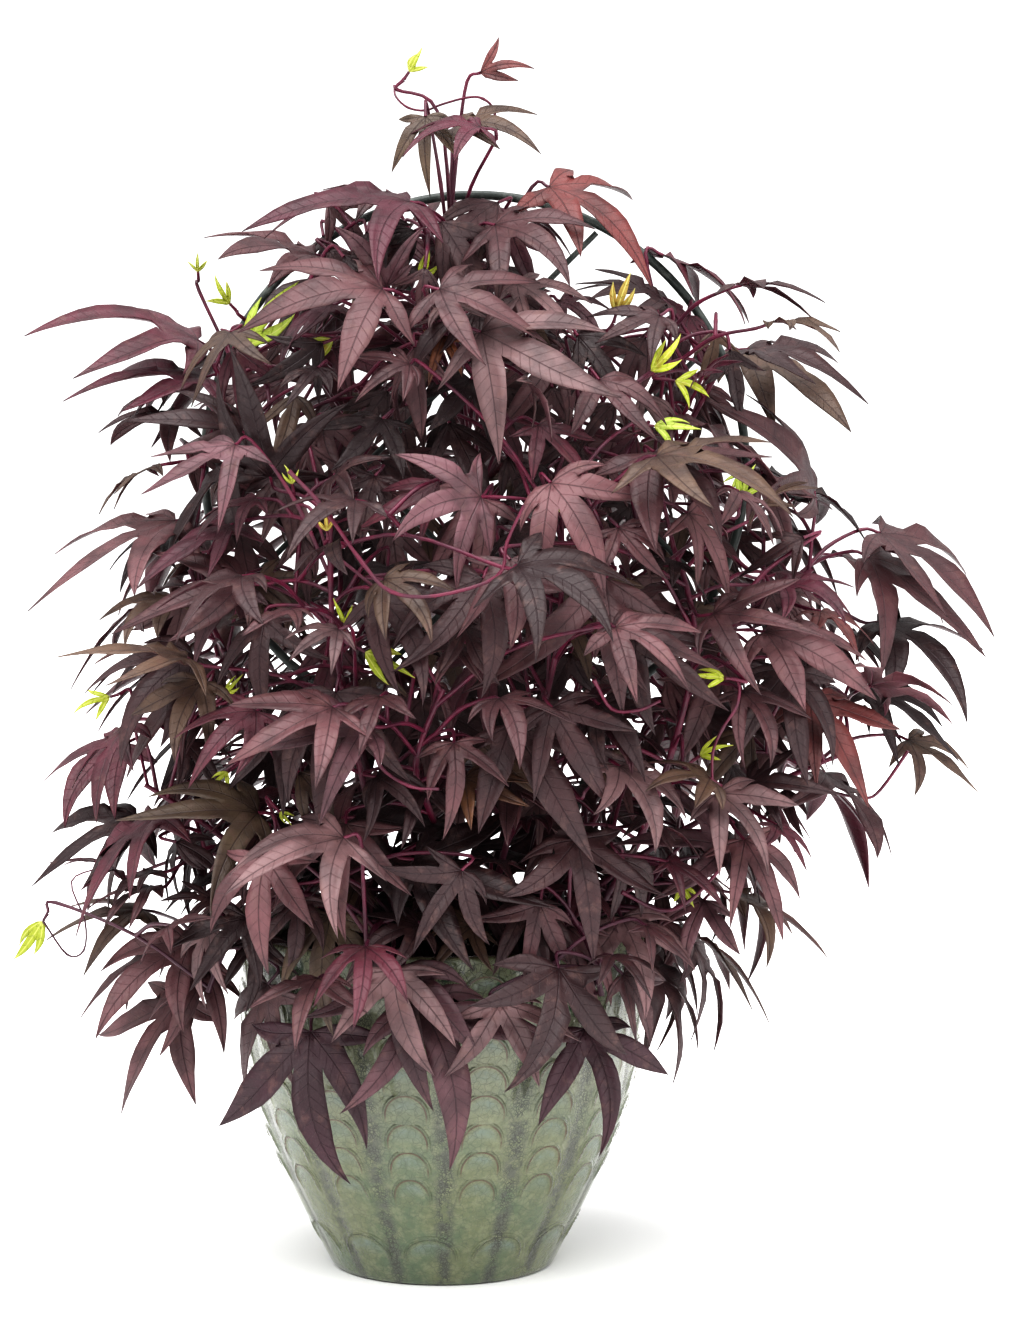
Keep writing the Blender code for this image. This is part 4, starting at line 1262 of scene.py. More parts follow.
def row_masks(up, radius, aside, top, there, share, around):
    """A row of scales: the masks of their edges and of the pools under their tops, and their height."""
    below = up - top
    above = (below + ARCH_DROP).most(0.0) / ARCH_DROP
    wide = aside / share
    half = radius * math.tau / around * share
    away = ((wide * wide + above * above).maths("SQRT") - 1.0) * half
    fade = below.step(-ARCH_DROP - LEG_FADE[1], -ARCH_DROP - LEG_FADE[0]) * there
    edge = abs(away + 0.0004).fall(0.0001, 0.0009)
    crest = abs(away - 0.0009).fall(0.0, CREST_WIDTH)
    echo = abs(away - ECHO_AWAY).fall(0.0, CREST_WIDTH, 0.40)
    sunk = below.step(-0.0150, -0.0050) * fade
    return edge * fade, away.fall(-0.0045, -0.0008) * sunk, crest.most(echo) * fade


def scale_group():
    """The scales' masks, in metres round and up the wall: their edges, the pools under their tops,
    a height for fine bumps, and how near a place is to the seam between two columns."""
    gives = dict.fromkeys(("Edge", "Pool", "Height", "Seam"), "Float")
    group, given = new_group("Pot scales", "ShaderNodeTree", {"Columns": "Float"}, gives)
    columns = given["Columns"]
    x, y, up = parts(group, node(group, "ShaderNodeTexCoord").outputs["Object"])
    radius = (x * x + y * y).maths("SQRT")
    bearing = y.maths("ARCTAN2", x)
    aside = column_aside(bearing, columns, COLUMN_TURN)
    row = ((up - ROW_LOW) / ROW_PITCH).maths("CEIL")
    masks = []
    for step in (0.0, 1.0):
        number = (row + step).most(0.0)
        there = number.maths("LESS_THAN", ROW_COUNT - 0.5)
        top = number.scaled(ROW_PITCH, ROW_LOW)
        masks.append(row_masks(up, radius, aside, top, there, ARCH_SHARE, columns))
    foot_aside = column_aside(bearing, FOOT_COLUMNS, FOOT_TURN)
    masks.append(row_masks(up, radius, foot_aside, FOOT_ROW, 1.0, FOOT_ARCH_SHARE, FOOT_COLUMNS))
    edge, pool, height = (low.most(high).most(foot) for low, high, foot in zip(*masks))
    seam = aside.step(0.28, 0.47)
    node(group, "NodeGroupOutput", {"Edge": edge, "Pool": pool, "Height": height, "Seam": seam})
    return group


def crackle(skin, scale, low, high):
    """Fine lines between cells, which a small wandering shift keeps from being straight."""
    inputs = {"Vector": skin.place, "Scale": 150.0, "Detail": 2.0}
    wander = node(skin.tree, "ShaderNodeTexNoise", inputs).outputs[1]
    vector = "ShaderNodeVectorMath"
    centred = node(skin.tree, vector, {0: wander, 1: (0.5, 0.5, 0.5)}, operation="SUBTRACT")
    shift = node(skin.tree, vector, {0: centred.outputs[0], "Scale": CRACK_WANDER}, operation="SCALE")
    shifted = node(skin.tree, vector, {0: skin.place, 1: shift.outputs[0]}, operation="ADD")
    inputs = {"Vector": shifted.outputs[0], "Scale": scale}
    cells = node(skin.tree, "ShaderNodeTexVoronoi", inputs, feature="DISTANCE_TO_EDGE")
    return Value(skin.tree, cells.outputs["Distance"]).fall(low, high)


def glaze_material(looks):
    """Crackled glaze: brown on the relief's crests, blue-green in its pools, grey between its columns, and
    dark green blotches near the top that are a painted reflection of the leaves.
    """
    skin = Finish("crackle_glaze", looks.glaze_colour)
    scales = node(skin.tree, "ShaderNodeGroup", {"Columns": looks.columns}, node_tree=scale_group())
    edge, pool, height, seam = (Value(skin.tree, output) for output in scales.outputs)
    up = parts(skin.tree, skin.place)[2]
    on_wall = up.fall(0.2190, 0.2260)
    skin.coat(skin.patches(0.38, 0.62, 22.0, 4.0), GLAZE_OLIVE)
    skin.coat(up.step(0.050, 0.170) * 0.55, GLAZE_PALE)
    cloud = skin.patches(0.42, 0.64, 120.0, 5.0, 0.7)
    skin.coat(cloud * 0.42, GLAZE_CLOUD)
    skin.coat(skin.patches(0.50, 0.68, 420.0, 3.0, 0.7) * 0.35, GLAZE_SPECK)
    skin.coat(pool * cloud.scaled(0.45, 0.35), looks.pool_colour)
    smear = skin.patches(0.42, 0.57, 75.0, 6.0, 0.75)
    skin.coat(seam * smear * up.step(0.090, 0.200, 0.85, 0.30), looks.streak_colour)
    # Painted reflection of the leaves: dark green blotches on the upper wall.
    skin.coat(skin.patches(0.58, 0.64, 55.0, 2.0) * up.step(0.150, 0.200) * 0.85, GLAZE_LEAF_REFLECTION)
    netting = crackle(skin, 480.0, 0.02, 0.13) * seam.scaled(0.75, 0.30)
    web = crackle(skin, 210.0, 0.01, 0.065).most(netting)
    broken = web * skin.patches(0.30, 0.52, 80.0)
    skin.coat(broken * seam.scaled(0.7, 0.38).most(up.step(0.130, 0.215)), GLAZE_CRACK)
    thin = edge * skin.patches(0.26, 0.52, 100.0) * up.step(0.040, 0.090, 0.12, 1.0)
    skin.coat(thin * on_wall * 0.90, looks.ridge_colour)
    skin.coat(up.step(0.2255, 0.2290) * 0.7, GLAZE_RIM)
    relief = height * on_wall + web.scaled(-0.12, skin.noise(70.0, 2.0) * 0.9)
    return skin.done(cloud.step(0.0, 1.0, 0.10, 0.22), relief, GLAZE_RELIEF, GLAZE_COAT)


def end_tree(tree, geometry, finish):
    """Ends a geometry tree: copies made real, and the finish put on."""
    whole = node(tree, "GeometryNodeRealizeInstances", {"Geometry": geometry})
    inputs = {"Geometry": whole.outputs[0], "Material": finish}
    coat = node(tree, "GeometryNodeSetMaterial", inputs)
    node(tree, "NodeGroupOutput", {0: coat.outputs[0]})


def tube_tree():
    """Round bars along a curve, each point as thick as its own radius."""
    inputs = {"Curve": "Geometry", "Sides": "Int", "Finish": "Material"}
    tree, given = new_group("Round bars", "GeometryNodeTree", inputs, {"Bars": "Geometry"})
    ring = node(tree, "GeometryNodeCurvePrimitiveCircle", {"Resolution": given["Sides"], "Radius": 1.0})
    sweep = {"Curve": given["Curve"], "Profile Curve": ring.outputs["Curve"], "Fill Caps": True}
    sweep["Scale"] = node(tree, "GeometryNodeInputRadius").outputs[0]
    bars = node(tree, "GeometryNodeCurveToMesh", sweep)
    smooth = node(tree, "GeometryNodeSetShadeSmooth", {"Geometry": bars.outputs[0]})
    end_tree(tree, smooth.outputs[0], given["Finish"])


def drawn(tree, low, high, seed):
    """A vector drawn between two, with a fixed seed."""
    inputs = {0: low, 1: high, "Seed": seed}
    return node(tree, "FunctionNodeRandomValue", inputs, data_type="FLOAT_VECTOR").outputs[0]


def crumb_tree():
    """Small broken grains strewn over a surface."""
    inputs = {"Surface": "Geometry", "Density": "Float", "Size": "Float", "Seed": "Int", "Finish": "Material"}
    tree, given = new_group("Strewn grains", "GeometryNodeTree", inputs, {"Grains": "Geometry"})
    spread = {"Mesh": given["Surface"], "Density": given["Density"], "Seed": given["Seed"]}
    spots = node(tree, "GeometryNodeDistributePointsOnFaces", spread)
    grain = node(tree, "GeometryNodeMeshIcoSphere", {"Radius": given["Size"], "Subdivisions": 1})
    strewing = {
        "Points": spots.outputs["Points"],
        "Instance": grain.outputs["Mesh"],
        "Rotation": drawn(tree, (0.0, 0.0, 0.0), (math.tau, math.tau, math.tau), 5),
        "Scale": drawn(tree, (0.45, 0.45, 0.30), (1.5, 1.2, 0.9), 9),
    }
    strewn = node(tree, "GeometryNodeInstanceOnPoints", strewing)
    end_tree(tree, strewn.outputs[0], given["Finish"])


def made_by(tree_name, name, source, values):
    """The plain mesh that a tree makes of a source's data, as a new piece."""
    tree = bpy.data.node_groups[tree_name]
    item = placed(f"{name}_source", source)
    modifier = item.modifiers.new("Build", "NODES")
    modifier.node_group = tree
    for socket in tree.interface.items_tree:
        if socket.name in values:
            modifier[socket.identifier] = values[socket.name]
    mesh = built(item)
    bpy.data.objects.remove(item)
    mesh.name = name
    return placed(name, mesh)


def bars(name, routes, sides, finish):
    """One piece of round bars; each route is (points, radii)."""
    return made_by("Round bars", name, curve_along(name, routes), {"Sides": sides, "Finish": finish})


def belong(piece, slot_name, *nodes):
    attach(piece, "root")
    if nodes:
        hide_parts(*nodes)


def smooth_wall(steps):
    """The pot's outer side, rim to foot, as a smooth curve of (radius, height)."""
    marks = [Vector((radius, height, 0.0)) for radius, height in WALL_CURVE]
    fine = smooth_route(marks, 12)[::-1]
    heights = np.linspace(WALL_CURVE[0][1], WALL_CURVE[-1][1], steps)
    radii = np.interp(heights, [point.y for point in fine], [point.x for point in fine])
    return [(float(radius), float(height)) for radius, height in zip(radii, heights)]


def arches(columns):
    """(top, half width as a share of its column, columns round, turn) of each row of scales."""
    rows = [(ROW_LOW + ROW_PITCH * row, ARCH_SHARE, columns, COLUMN_TURN) for row in range(ROW_COUNT)]
    return [(FOOT_ROW, FOOT_ARCH_SHARE, FOOT_COLUMNS, FOOT_TURN), *rows]


def relief_at(angle, radius, height, looks):
    """How far the wall stands out at a place on it."""
    lift = 0.0
    for top, share, columns, first in arches(looks.columns):
        centre = top - ARCH_DROP
        low = centre - LEG_FADE[1]
        if not low < height < top + 0.005:
            continue
        wide = math.tau / columns
        aside = ((angle - first + wide / 2) % wide - wide / 2) * radius
        half = share * wide * radius
        above = max(0.0, height - centre) / ARCH_DROP
        away = (math.hypot(aside / half, above) - 1.0) * half
        fade = min(1.0, (height - low) / (LEG_FADE[1] - LEG_FADE[0]))
        lift = max(lift, looks.ridge_height * fade * math.exp(-((away / looks.ridge_width) ** 2)))
        if away < 0.0:
            swell = min(1.0, -away / 0.005) * math.exp((height - top) / 0.012)
            lift = max(lift, SCALE_SWELL * swell)
    turn = (angle - COLUMN_TURN) * looks.columns / math.tau
    between = max(0.0, (2 * abs((turn + 0.5) % 1.0 - 0.5)) ** 2 - SEAM_START) / (1.0 - SEAM_START)
    return lift - SEAM_DEPTH * between


def wall_radius(angle, radius, height, looks):
    """The wall's radius with its relief, which is calm towards the rim and the foot."""
    calm = max(0.0, min(1.0, (PLAIN_RIM - height) / 0.006, (height - PLAIN_FOOT) / 0.010))
    return radius + (relief_at(angle, radius, height, looks) - RELIEF_SINK) * calm


def add_ring(points, height, radii):
    """Adds a ring of points, with a radius for each bearing, and gives the index of its first."""
    first = len(points)
    for angle, radius in zip(POT_BEARINGS, radii):
        points.append((radius * math.cos(angle), radius * math.sin(angle), height))
    return first


def between_rings(first, second, outside):
    """The faces from one ring to the next. They look out of the pot, or into it."""
    faces = []
    for step in range(POT_STEPS_ROUND):
        after = (step + 1) % POT_STEPS_ROUND
        a, b, c, d = first + step, second + step, second + after, first + after
        faces.append((a, b, c, d) if outside else (a, d, c, b))
    return faces


def pot_mesh(looks):
    """The whole pot as one closed skin: its wall in relief, foot, rim, inside and floor."""
    points, down, inwards = [], [], [0]
    for radius, height in smooth_wall(POT_STEPS_UP):
        radii = [wall_radius(angle, radius, height, looks) for angle in POT_BEARINGS]
        down.append(add_ring(points, height, radii))
    for radius, height in FOOT_RINGS:
        down.append(add_ring(points, height, [radius] * POT_STEPS_ROUND))
    for radius, height in (*RIM_RINGS, *reversed(POT_INSIDE)):
        inwards.append(add_ring(points, height, [radius] * POT_STEPS_ROUND))
    faces = []
    for first, second in zip(down, down[1:]):
        faces += between_rings(first, second, True)
    faces.append(tuple(down[-1] + step for step in reversed(range(POT_STEPS_ROUND))))
    for first, second in zip(inwards, inwards[1:]):
        faces += between_rings(first, second, False)
    faces.append(tuple(inwards[-1] + step for step in range(POT_STEPS_ROUND)))
    mesh = bpy.data.meshes.new("glazed_pot")
    mesh.from_pydata(points, [], faces)
    return mesh


def drill_drains(piece):
    """Cuts the drainage holes through the pot's floor."""
    shape = bmesh.new()
    for step in range(DRAIN_COUNT):
        angle = math.tau * (step + 0.5) / DRAIN_COUNT
        made = bmesh.ops.create_cone(
            shape, cap_ends=True, segments=24, radius1=DRAIN_RADIUS, radius2=DRAIN_RADIUS, depth=0.05
        )
        place = Vector((DRAIN_RING * math.cos(angle), DRAIN_RING * math.sin(angle), 0.01))
        bmesh.ops.translate(shape, verts=made["verts"], vec=place)
    mesh = bpy.data.meshes.new("drills")
    shape.to_mesh(mesh)
    shape.free()
    drill = placed("drills", mesh)
    boolean = piece.modifiers.new("Drains", "BOOLEAN")
    boolean.operation = "DIFFERENCE"
    boolean.solver = "MANIFOLD"
    boolean.object = drill
    drilled = built(piece)
    piece.modifiers.clear()
    piece.data = drilled
    bpy.data.objects.remove(drill)


def fine_stem(points, radius, tip_radius, draw, swellings=0.0):
    """A stem's smooth route, a little thicker at its joints."""
    route = smooth_route(points, FINE_STEPS)
    last = len(route) - 1
    radii = []
    for place in range(last + 1):
        plain = radius + (tip_radius - radius) * place / last
        radii.append(plain * (1.0 + swellings * draw.random() * (place % FINE_STEPS == 0)))
    return route, radii


def lobe_outline(share):
    return float(np.interp(share, [p[0] for p in LOBE_OUTLINE], [p[1] for p in LOBE_OUTLINE]))


def held_back(leaf):
    """A smaller length for the leaves that bound the solids, whose curved lobes would pass them."""
    if leaf.hub.z > 0.78:
        return 0.80
    return 0.95 if leaf.hub.x < -0.25 else 1.0


class LobeShape:
    """One lobe's middle line, spread, droop and wave."""

    def __init__(self, leaf, angle, share, width, draw, wave):
        young = len(leaf.lobes) == 3
        self.leaf = leaf
        self.angle = angle + draw.uniform(-0.10, 0.10)
        self.reach = leaf.length * share * draw.uniform(0.90, 1.05) * held_back(leaf)
        spike = YOUNG_SPIKE_WIDTH if young else SPIKE_WIDTH
        self.half = leaf.length * (width or spike) * draw.uniform(0.70, 1.12)
        self.bow = draw.uniform(-0.32, 0.32)
        self.rise = LOBE_RISE + draw.uniform(-0.05, 0.05)
        self.droop = LOBE_DROOP + draw.uniform(-0.12, 0.24)
        self.wave = wave * draw.uniform(0.4, 1.5)
        self.phase = draw.uniform(0.0, math.tau)
        self.turns = draw.uniform(1.2, 2.4)
        self.twist = draw.uniform(-0.55, 0.55)
        self.fold = RIB_FOLD + draw.uniform(-0.12, 0.12)

    def at(self, along, across):
        """The point `along` the lobe and `across` from its middle line, in metres."""
        share = along / self.reach
        angle = self.angle + self.bow * share * share
        leaf = self.leaf
        out, aside = leaf.ways(angle)
        edge = abs(across) / self.half
        ripple = self.wave * self.half * edge * edge * math.sin(self.phase + math.tau * self.turns * share)
        if across < 0:
            ripple = -ripple * 0.7
        lift = self.reach * (self.rise * share - self.droop * share * share)
        lift += self.fold * abs(across) + self.twist * share * across + ripple
        return leaf.hub + out * along + aside * across + leaf.facing * lift


class Sheet:
    """Points and faces of many blades, with each corner's place on its own blade."""

    def __init__(self):
        self.points = []
        self.faces = []
        self.corners = []
        self.tints = []

    def add_point(self, point, tint):
        self.points.append(point)
        self.tints.append(tint)
        return len(self.points) - 1

    def add_face(self, *corners):
        """Each corner is (point's index, across, along)."""
        self.faces.append([corner[0] for corner in corners])
        self.corners += [corner[1:] for corner in corners]

    def add_leaf(self, leaf, tint, rows, draw, wave):
        notches = blade_surface(leaf)[0][1 : len(leaf.lobes) + 2]
        hub = self.add_point(leaf.hub, tint)
        inner = [self.add_point(leaf.hub.lerp(notch, 0.5), tint) for notch in notches]
        outer = [self.add_point(notch, tint) for notch in notches]
        for place, (angle, share, width) in enumerate(leaf.lobes):
            lobe = LobeShape(leaf, angle, share, width, draw, wave)
            out, aside = leaf.ways(lobe.angle)
            offsets = [notch - leaf.hub for notch in notches[place : place + 2]]
            ends = [(offset.dot(out), offset.dot(aside)) for offset in offsets]
            start = max(0.1 * lobe.reach, (ends[0][0] + ends[1][0]) / 2)
            self.add_lobe(lobe, hub, (inner, outer), place, start, ends, tint, rows)

    def add_lobe(self, lobe, hub, borders, place, start, ends, tint, steps):
        """Five points to a row: two rows shared with the next lobes, then this lobe's own, and its tip."""
        inner, outer = borders
        rows = []
        for share, border in ((0.5, inner), (1.0, outer)):
            middle = lobe.at(start * share, 0.0)
            left, right = self.points[border[place]], self.points[border[place + 1]]
            row = [(border[place], ends[0][1] * share, ends[0][0] * share)]
            row.append((self.add_point(left.lerp(middle, 0.5), tint), ends[0][1] * share / 2, start * share))
            row.append((self.add_point(middle, tint), 0.0, start * share))
            row.append((self.add_point(right.lerp(middle, 0.5), tint), ends[1][1] * share / 2, start * share))
            row.append((border[place + 1], ends[1][1] * share, ends[1][0] * share))
            rows.append(row)
        base = lobe_outline(start / lobe.reach) * lobe.half
        for step in steps:
            along = start + (lobe.reach - start) * step
            plain = lobe_outline(along / lobe.reach) * lobe.half
            easing = (1.0 - step) ** 3
            row = []
            for side in (-1.0, -0.5, 0.0, 0.5, 1.0):
                end = abs(ends[0][1] if side < 0 else ends[1][1])
                across = side * (plain + (end - base) * easing)
                row.append((self.add_point(lobe.at(along, across), tint), across, along))
            rows.append(row)
        tip = (self.add_point(lobe.at(lobe.reach, 0.0), tint), 0.0, lobe.reach)
        centre = (hub, 0.0, 0.0)
        for i in range(4):
            self.add_face(centre, rows[0][i], rows[0][i + 1])
            for near, far in zip(rows, rows[1:]):
                self.add_face(near[i], far[i], far[i + 1], near[i + 1])
            self.add_face(rows[-1][i], tip, rows[-1][i + 1])

    def mesh(self, name):
        made = bpy.data.meshes.new(name)
        made.from_pydata(self.points, [], self.faces)
        layer = made.uv_layers.new(name="blade")
        layer.data.foreach_set("uv", np.array(self.corners, np.float32).ravel())
        colours = made.color_attributes.new("leaf_colour", "FLOAT_COLOR", "POINT")
        colours.data.foreach_set("color", np.array(self.tints, np.float32).ravel())
        made.polygons.foreach_set("use_smooth", [True] * len(self.faces))
        return made


def thickened(piece, thickness):
    """Gives the sheets their thickness; the second of each pair of finishes is the underside."""
    shell = piece.modifiers.new("Thickness", "SOLIDIFY")
    shell.thickness = thickness
    shell.offset = 0.0
    shell.material_offset = 1
    solid = built(piece)
    piece.modifiers.clear()
    piece.data = solid


def leaf_tint(draw, hub_pixel, colours):
    """A leaf's colour: the one noted for that place of the picture, or one drawn at random."""
    if hub_pixel in SPECIAL_COLOURS:
        base = SPECIAL_COLOURS[hub_pixel]
    else:
        base = draw.choices([colour for colour, weight in colours], [weight for colour, weight in colours])[0]
    light = draw.uniform(0.8, 1.25)
    return opaque(min(1.0, part * light) for part in base)


def grow_stems(plant):
    """Grows the stems, and returns the joints along them."""
    joints = []
    for name, points in VINES.items():
        route = vine_route(points)
        last = len(route) - 1
        radii = [STEM_RADIUS + (STEM_TIP_RADIUS - STEM_RADIUS) * i / last for i in range(last + 1)]
        plant.add(name, "stem", tube_mesh(f"{name}_stem", route, radii, 1))
        plant.routes.append((name, route, STEM_RADIUS, STEM_TIP_RADIUS))
        for a, b in zip(route[1:], route[2:]):
            steps = max(1, round((b - a).length / JOINT_SPACING))
            joints += [Joint(name, a.lerp(b, (step + 0.7) / steps)) for step in range(steps)]
    return joints


def grow_leaf(plant, joints, pixel, leaf, offsets=STAY, tries=20):
    """Sets one leaf on the nearest stem, moved as little as clears it from the rest."""
    for offset in offsets:
        moved = leaf.moved(offset)
        bare = [moved.hub - moved.along * 0.004, moved.hub]
        padded = leaf_mesh("test", moved, BLADE_THICKNESS + CLEARANCE, bare, STALK_RADIUS)
        clear = {}
        for joint in nearest_joints(joints, moved.hub)[:tries]:
            owner = joint.owner
            if owner not in clear:
                clear[owner] = plant.blade_is_clear(padded, owner)
            route = stalk_route(joint.point, moved)
            if not clear[owner] or not plant.route_is_clear(route, STALK_RADIUS, owner):
                continue
            plant.add(owner, "leaf", leaf_mesh("leaf", moved, BLADE_THICKNESS, route, STALK_RADIUS))
            plant.leaves.append((owner, moved, pixel, plant.rows))
            plant.routes.append((owner, route, STALK_RADIUS * 1.15, STALK_RADIUS * 0.8))
            joint.free = False
            if plant.branch_reach:
                joints.append(Joint(owner, route[1]))
            return True
    return False


def grow_portraits(plant, joints, table, tries):
    """Grows the leaves of a table that were read off the picture."""
    for hub, tip, length, turn in table:
        grow_leaf(plant, joints, hub, portrait_leaf(hub, tip, length, turn), depth_offsets(), tries)


def grow_shoot(plant, joints, name, pixels, length_mm, depth_mm):
    """A thin runner of the nearest vine, and the young leaf that starts a gap beyond its end."""
    hub_pixel, tip_pixel = pixels
    for step in range(10):
        depth = depth_mm / 1000 + (step * 0.005 if step % 2 else -step * 0.005)
        hub = seen_at(hub_pixel, depth)
        along = seen_at(tip_pixel, depth - 0.006) - hub
        leaf = Leaf(hub, along, Vector((0.0, -1.0, 0.6)), length_mm / 1000, YOUNG_LOBES)
        bare = [hub - leaf.along * 0.006, hub]
        padded = leaf_mesh("test", leaf, BLADE_THICKNESS + CLEARANCE, bare, RUNNER_RADIUS)
        if not plant.blade_is_clear(padded, name):
            continue
        end = bare[0] - leaf.along * RUNNER_GAP
        for joint in nearest_joints(joints, hub)[:20]:
            bend = joint.point.lerp(end, 0.45) + UP * 0.012
            runner = [joint.point, bend, end - leaf.along * 0.008, end]
            if not plant.route_is_clear(runner, RUNNER_RADIUS, joint.owner):
                continue
            plant.add(joint.owner, "leaf", tube_mesh("runner", runner, [RUNNER_RADIUS] * 4, 0))
            plant.add(name, "leaf", leaf_mesh("leaf", leaf, BLADE_THICKNESS, bare, RUNNER_RADIUS))
            plant.routes.append((joint.owner, runner, RUNNER_RADIUS, RUNNER_RADIUS))
            plant.routes.append((name, bare, RUNNER_RADIUS, RUNNER_RADIUS * 0.8))
            plant.leaves.append((name, leaf, None, plant.rows))
            joint.free = False
            return


def twig_leaf(joint, draw):
    """A leaf on a short stalk of one joint, drooping away from the crown's middle."""
    middle = crown_at(joint.point.z)[1]
    azimuth = draw.uniform(0.0, math.tau)
    away = outward_at(azimuth, draw.uniform(-0.3, 0.8)).normalized()
    hub = joint.point + away * draw.uniform(*TWIG_REACH)
    outward = Vector((hub.x - middle, hub.y, 0.0)).normalized()
    along = away * 0.6 + outward * draw.uniform(0.2, 1.0) - UP * draw.uniform(0.1, 1.0)
    facing = outward * draw.uniform(0.1, 1.0) + UP * draw.uniform(0.4, 1.0)
    return Leaf(hub, along, facing, draw.uniform(*TWIG_LEAF))


def skirt_leaf(index, draw):
    """A leaf that hangs over the pot's rim."""
    outward = outward_at(index * GOLDEN_ANGLE)
    tangent = Vector((-outward.y, outward.x, 0.0))
    hub = outward * draw.uniform(*SKIRT_RADIUS) + UP * draw.uniform(*SKIRT_HEIGHT)
    along = outward * draw.uniform(0.0, 0.5) + tangent * draw.uniform(-0.7, 0.7) - UP
    facing = outward + UP * draw.uniform(0.0, 0.6)
    return Leaf(hub, along, facing, draw.uniform(*SKIRT_REACH))


def close_gaps(plant, joints, azimuth, spots, draw):
    """Sets leaves where the sky would show through the crown from one side."""
    view = outward_at(azimuth)
    side = Vector((-view.y, view.x, 0.0))
    for spot in range(spots):
        height = GAP_LOW + (GAP_HIGH - GAP_LOW) * (spot + 0.5) / spots
        half, middle = crown_at(height)
        across = draw.uniform(-0.9, 0.9)
        front = math.sqrt(1.0 - across * across)
        for attempt in range(GAP_TRIES):
            flat = side * across + view * front * draw.uniform(-0.5, 0.9)
            aim = Vector((flat.x * half + middle, flat.y * half * CROWN_DEPTH_SHARE, height))
            if attempt == 0 and not sight_is_open(plant, aim, view + UP * SIGHT_RISE):
                break
            along = side * draw.uniform(-1.0, 1.0) - UP * draw.uniform(0.3, 1.0)
            along = (along + view * draw.uniform(0.0, 0.5)).normalized()
            facing = view + UP * draw.uniform(0.2, 1.0)
            length = draw.uniform(*GAP_REACH)
            leaf = Leaf(aim - along * 0.4 * length, along, facing, length, SLENDER_LOBES)
            if has_room(leaf) and grow_leaf(plant, joints, None, leaf, tries=10):
                break


def sight_is_open(plant, aim, towards):
    """Whether no leaf lies on the line of sight through a place in the crown."""
    start = aim + towards
    leaves = (other for other in plant.obstacles if other.kind == "leaf")
    return all(leaf.tree.ray_cast(start, -towards)[0] is None for leaf in leaves)


def has_room(leaf):
    """Whether a whole blade is within the solids' box, and leaves the hoop's bare arc in sight."""
    low, high = CAD_BOX
    points = blade_surface(leaf)[0]
    place = leaf.hub - HOOP_CENTRE
    bearing = math.degrees(math.atan2(place.z, place.x))
    by_hoop = BARE_ARC[0] < bearing < BARE_ARC[1] and math.hypot(place.x, place.z) > BARE_REACH
    if leaf.hub.z > FILL_TOP or by_hoop:
        return False
    return all(low[i] + BOX_MARGIN < point[i] < high[i] - BOX_MARGIN for point in points for i in range(3))


def fill_crown(plant, joints):
    """Grows small leaves: from every joint, over the pot's rim, and where gaps still show."""
    plant.rows = FILL_ROWS
    plant.branch_reach = BRANCH_REACH
    draw = random.Random(FILL_SEED)
    for owner, route, *_ in plant.routes:
        if owner in VINES and len(route) == STALK_POINTS:
            joints.append(Joint(owner, route[1]))
    for joint in list(joints):
        for _ in range(TWIG_TRIES):
            leaf = twig_leaf(joint, draw)
            if has_room(leaf) and grow_leaf(plant, [joint], None, leaf):
                joints.append(Joint(joint.owner, plant.routes[-1][1][1]))
                break
    for index in range(SKIRT_LEAVES):
        for _ in range(SKIRT_TRIES):
            leaf = skirt_leaf(index, draw)
            if has_room(leaf) and grow_leaf(plant, joints, None, leaf, tries=12):
                break
    for azimuth, spots in GAP_VIEWS:
        close_gaps(plant, joints, math.radians(azimuth), spots, draw)


def grow_plant():
    """The same stems, shoots and leaves as the solids have, in the same order, and then the rest."""
    plant = Plant()
    plant.keep_off("pot", "trellis_hoop", *lattice_rods())
    joints = grow_stems(plant)
    plant.keep_off("soil")
    for name, (hub, tip, length, depth) in YOUNG_SHOOTS.items():
        grow_shoot(plant, joints, name, (hub, tip), length, depth)
    grow_portraits(plant, joints, PORTRAIT_LEAVES, 20)
    draw = random.Random(SEED)
    for index in range(HIDDEN_LEAVES):
        leaf = hidden_leaf(index, draw)
        grow_leaf(plant, joints, None, leaf, outward_offsets(leaf))
    for hub, tip, length in SPROUTS:
        grow_shoot(plant, joints, "sprouts", (hub, tip), length, front_depth(hub) * 1000)
    grow_portraits(plant, joints, SMALL_PORTRAITS, 8)
    fill_crown(plant, joints)
    return plant


def dress_vine(name, plant, looks):
    """One vine's blades, and its stem and stalks, in place of its solid."""
    draw = random.Random(name)
    young = name not in VINES
    sheet = Sheet()
    for owner, leaf, pixel, rows in plant.leaves:
        if owner == name:
            tint = leaf_tint(draw, pixel, YOUNG_COLOURS if young else LEAF_COLOURS)
            sheet.add_leaf(leaf, tint, rows, draw, looks.wave)
    piece = placed(f"leaves_{name}", sheet.mesh(f"leaves_{name}"))
    for finish in (("young_blade", "young_underside") if young else ("leaf_blade", "leaf_underside")):
        piece.data.materials.append(bpy.data.materials[finish])
    thickened(piece, looks.thickness)
    routes = []
    for owner, points, radius, tip in plant.routes:
        if owner == name:
            routes.append(fine_stem(points, radius, tip, draw, SWELLING))
    stems = bars(f"stems_{name}", routes, 6, bpy.data.materials["stem_skin"])
    solids = [name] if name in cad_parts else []
    for item in (piece, stems):
        belong(item, "young_leaf" if young else "foliage", *solids)


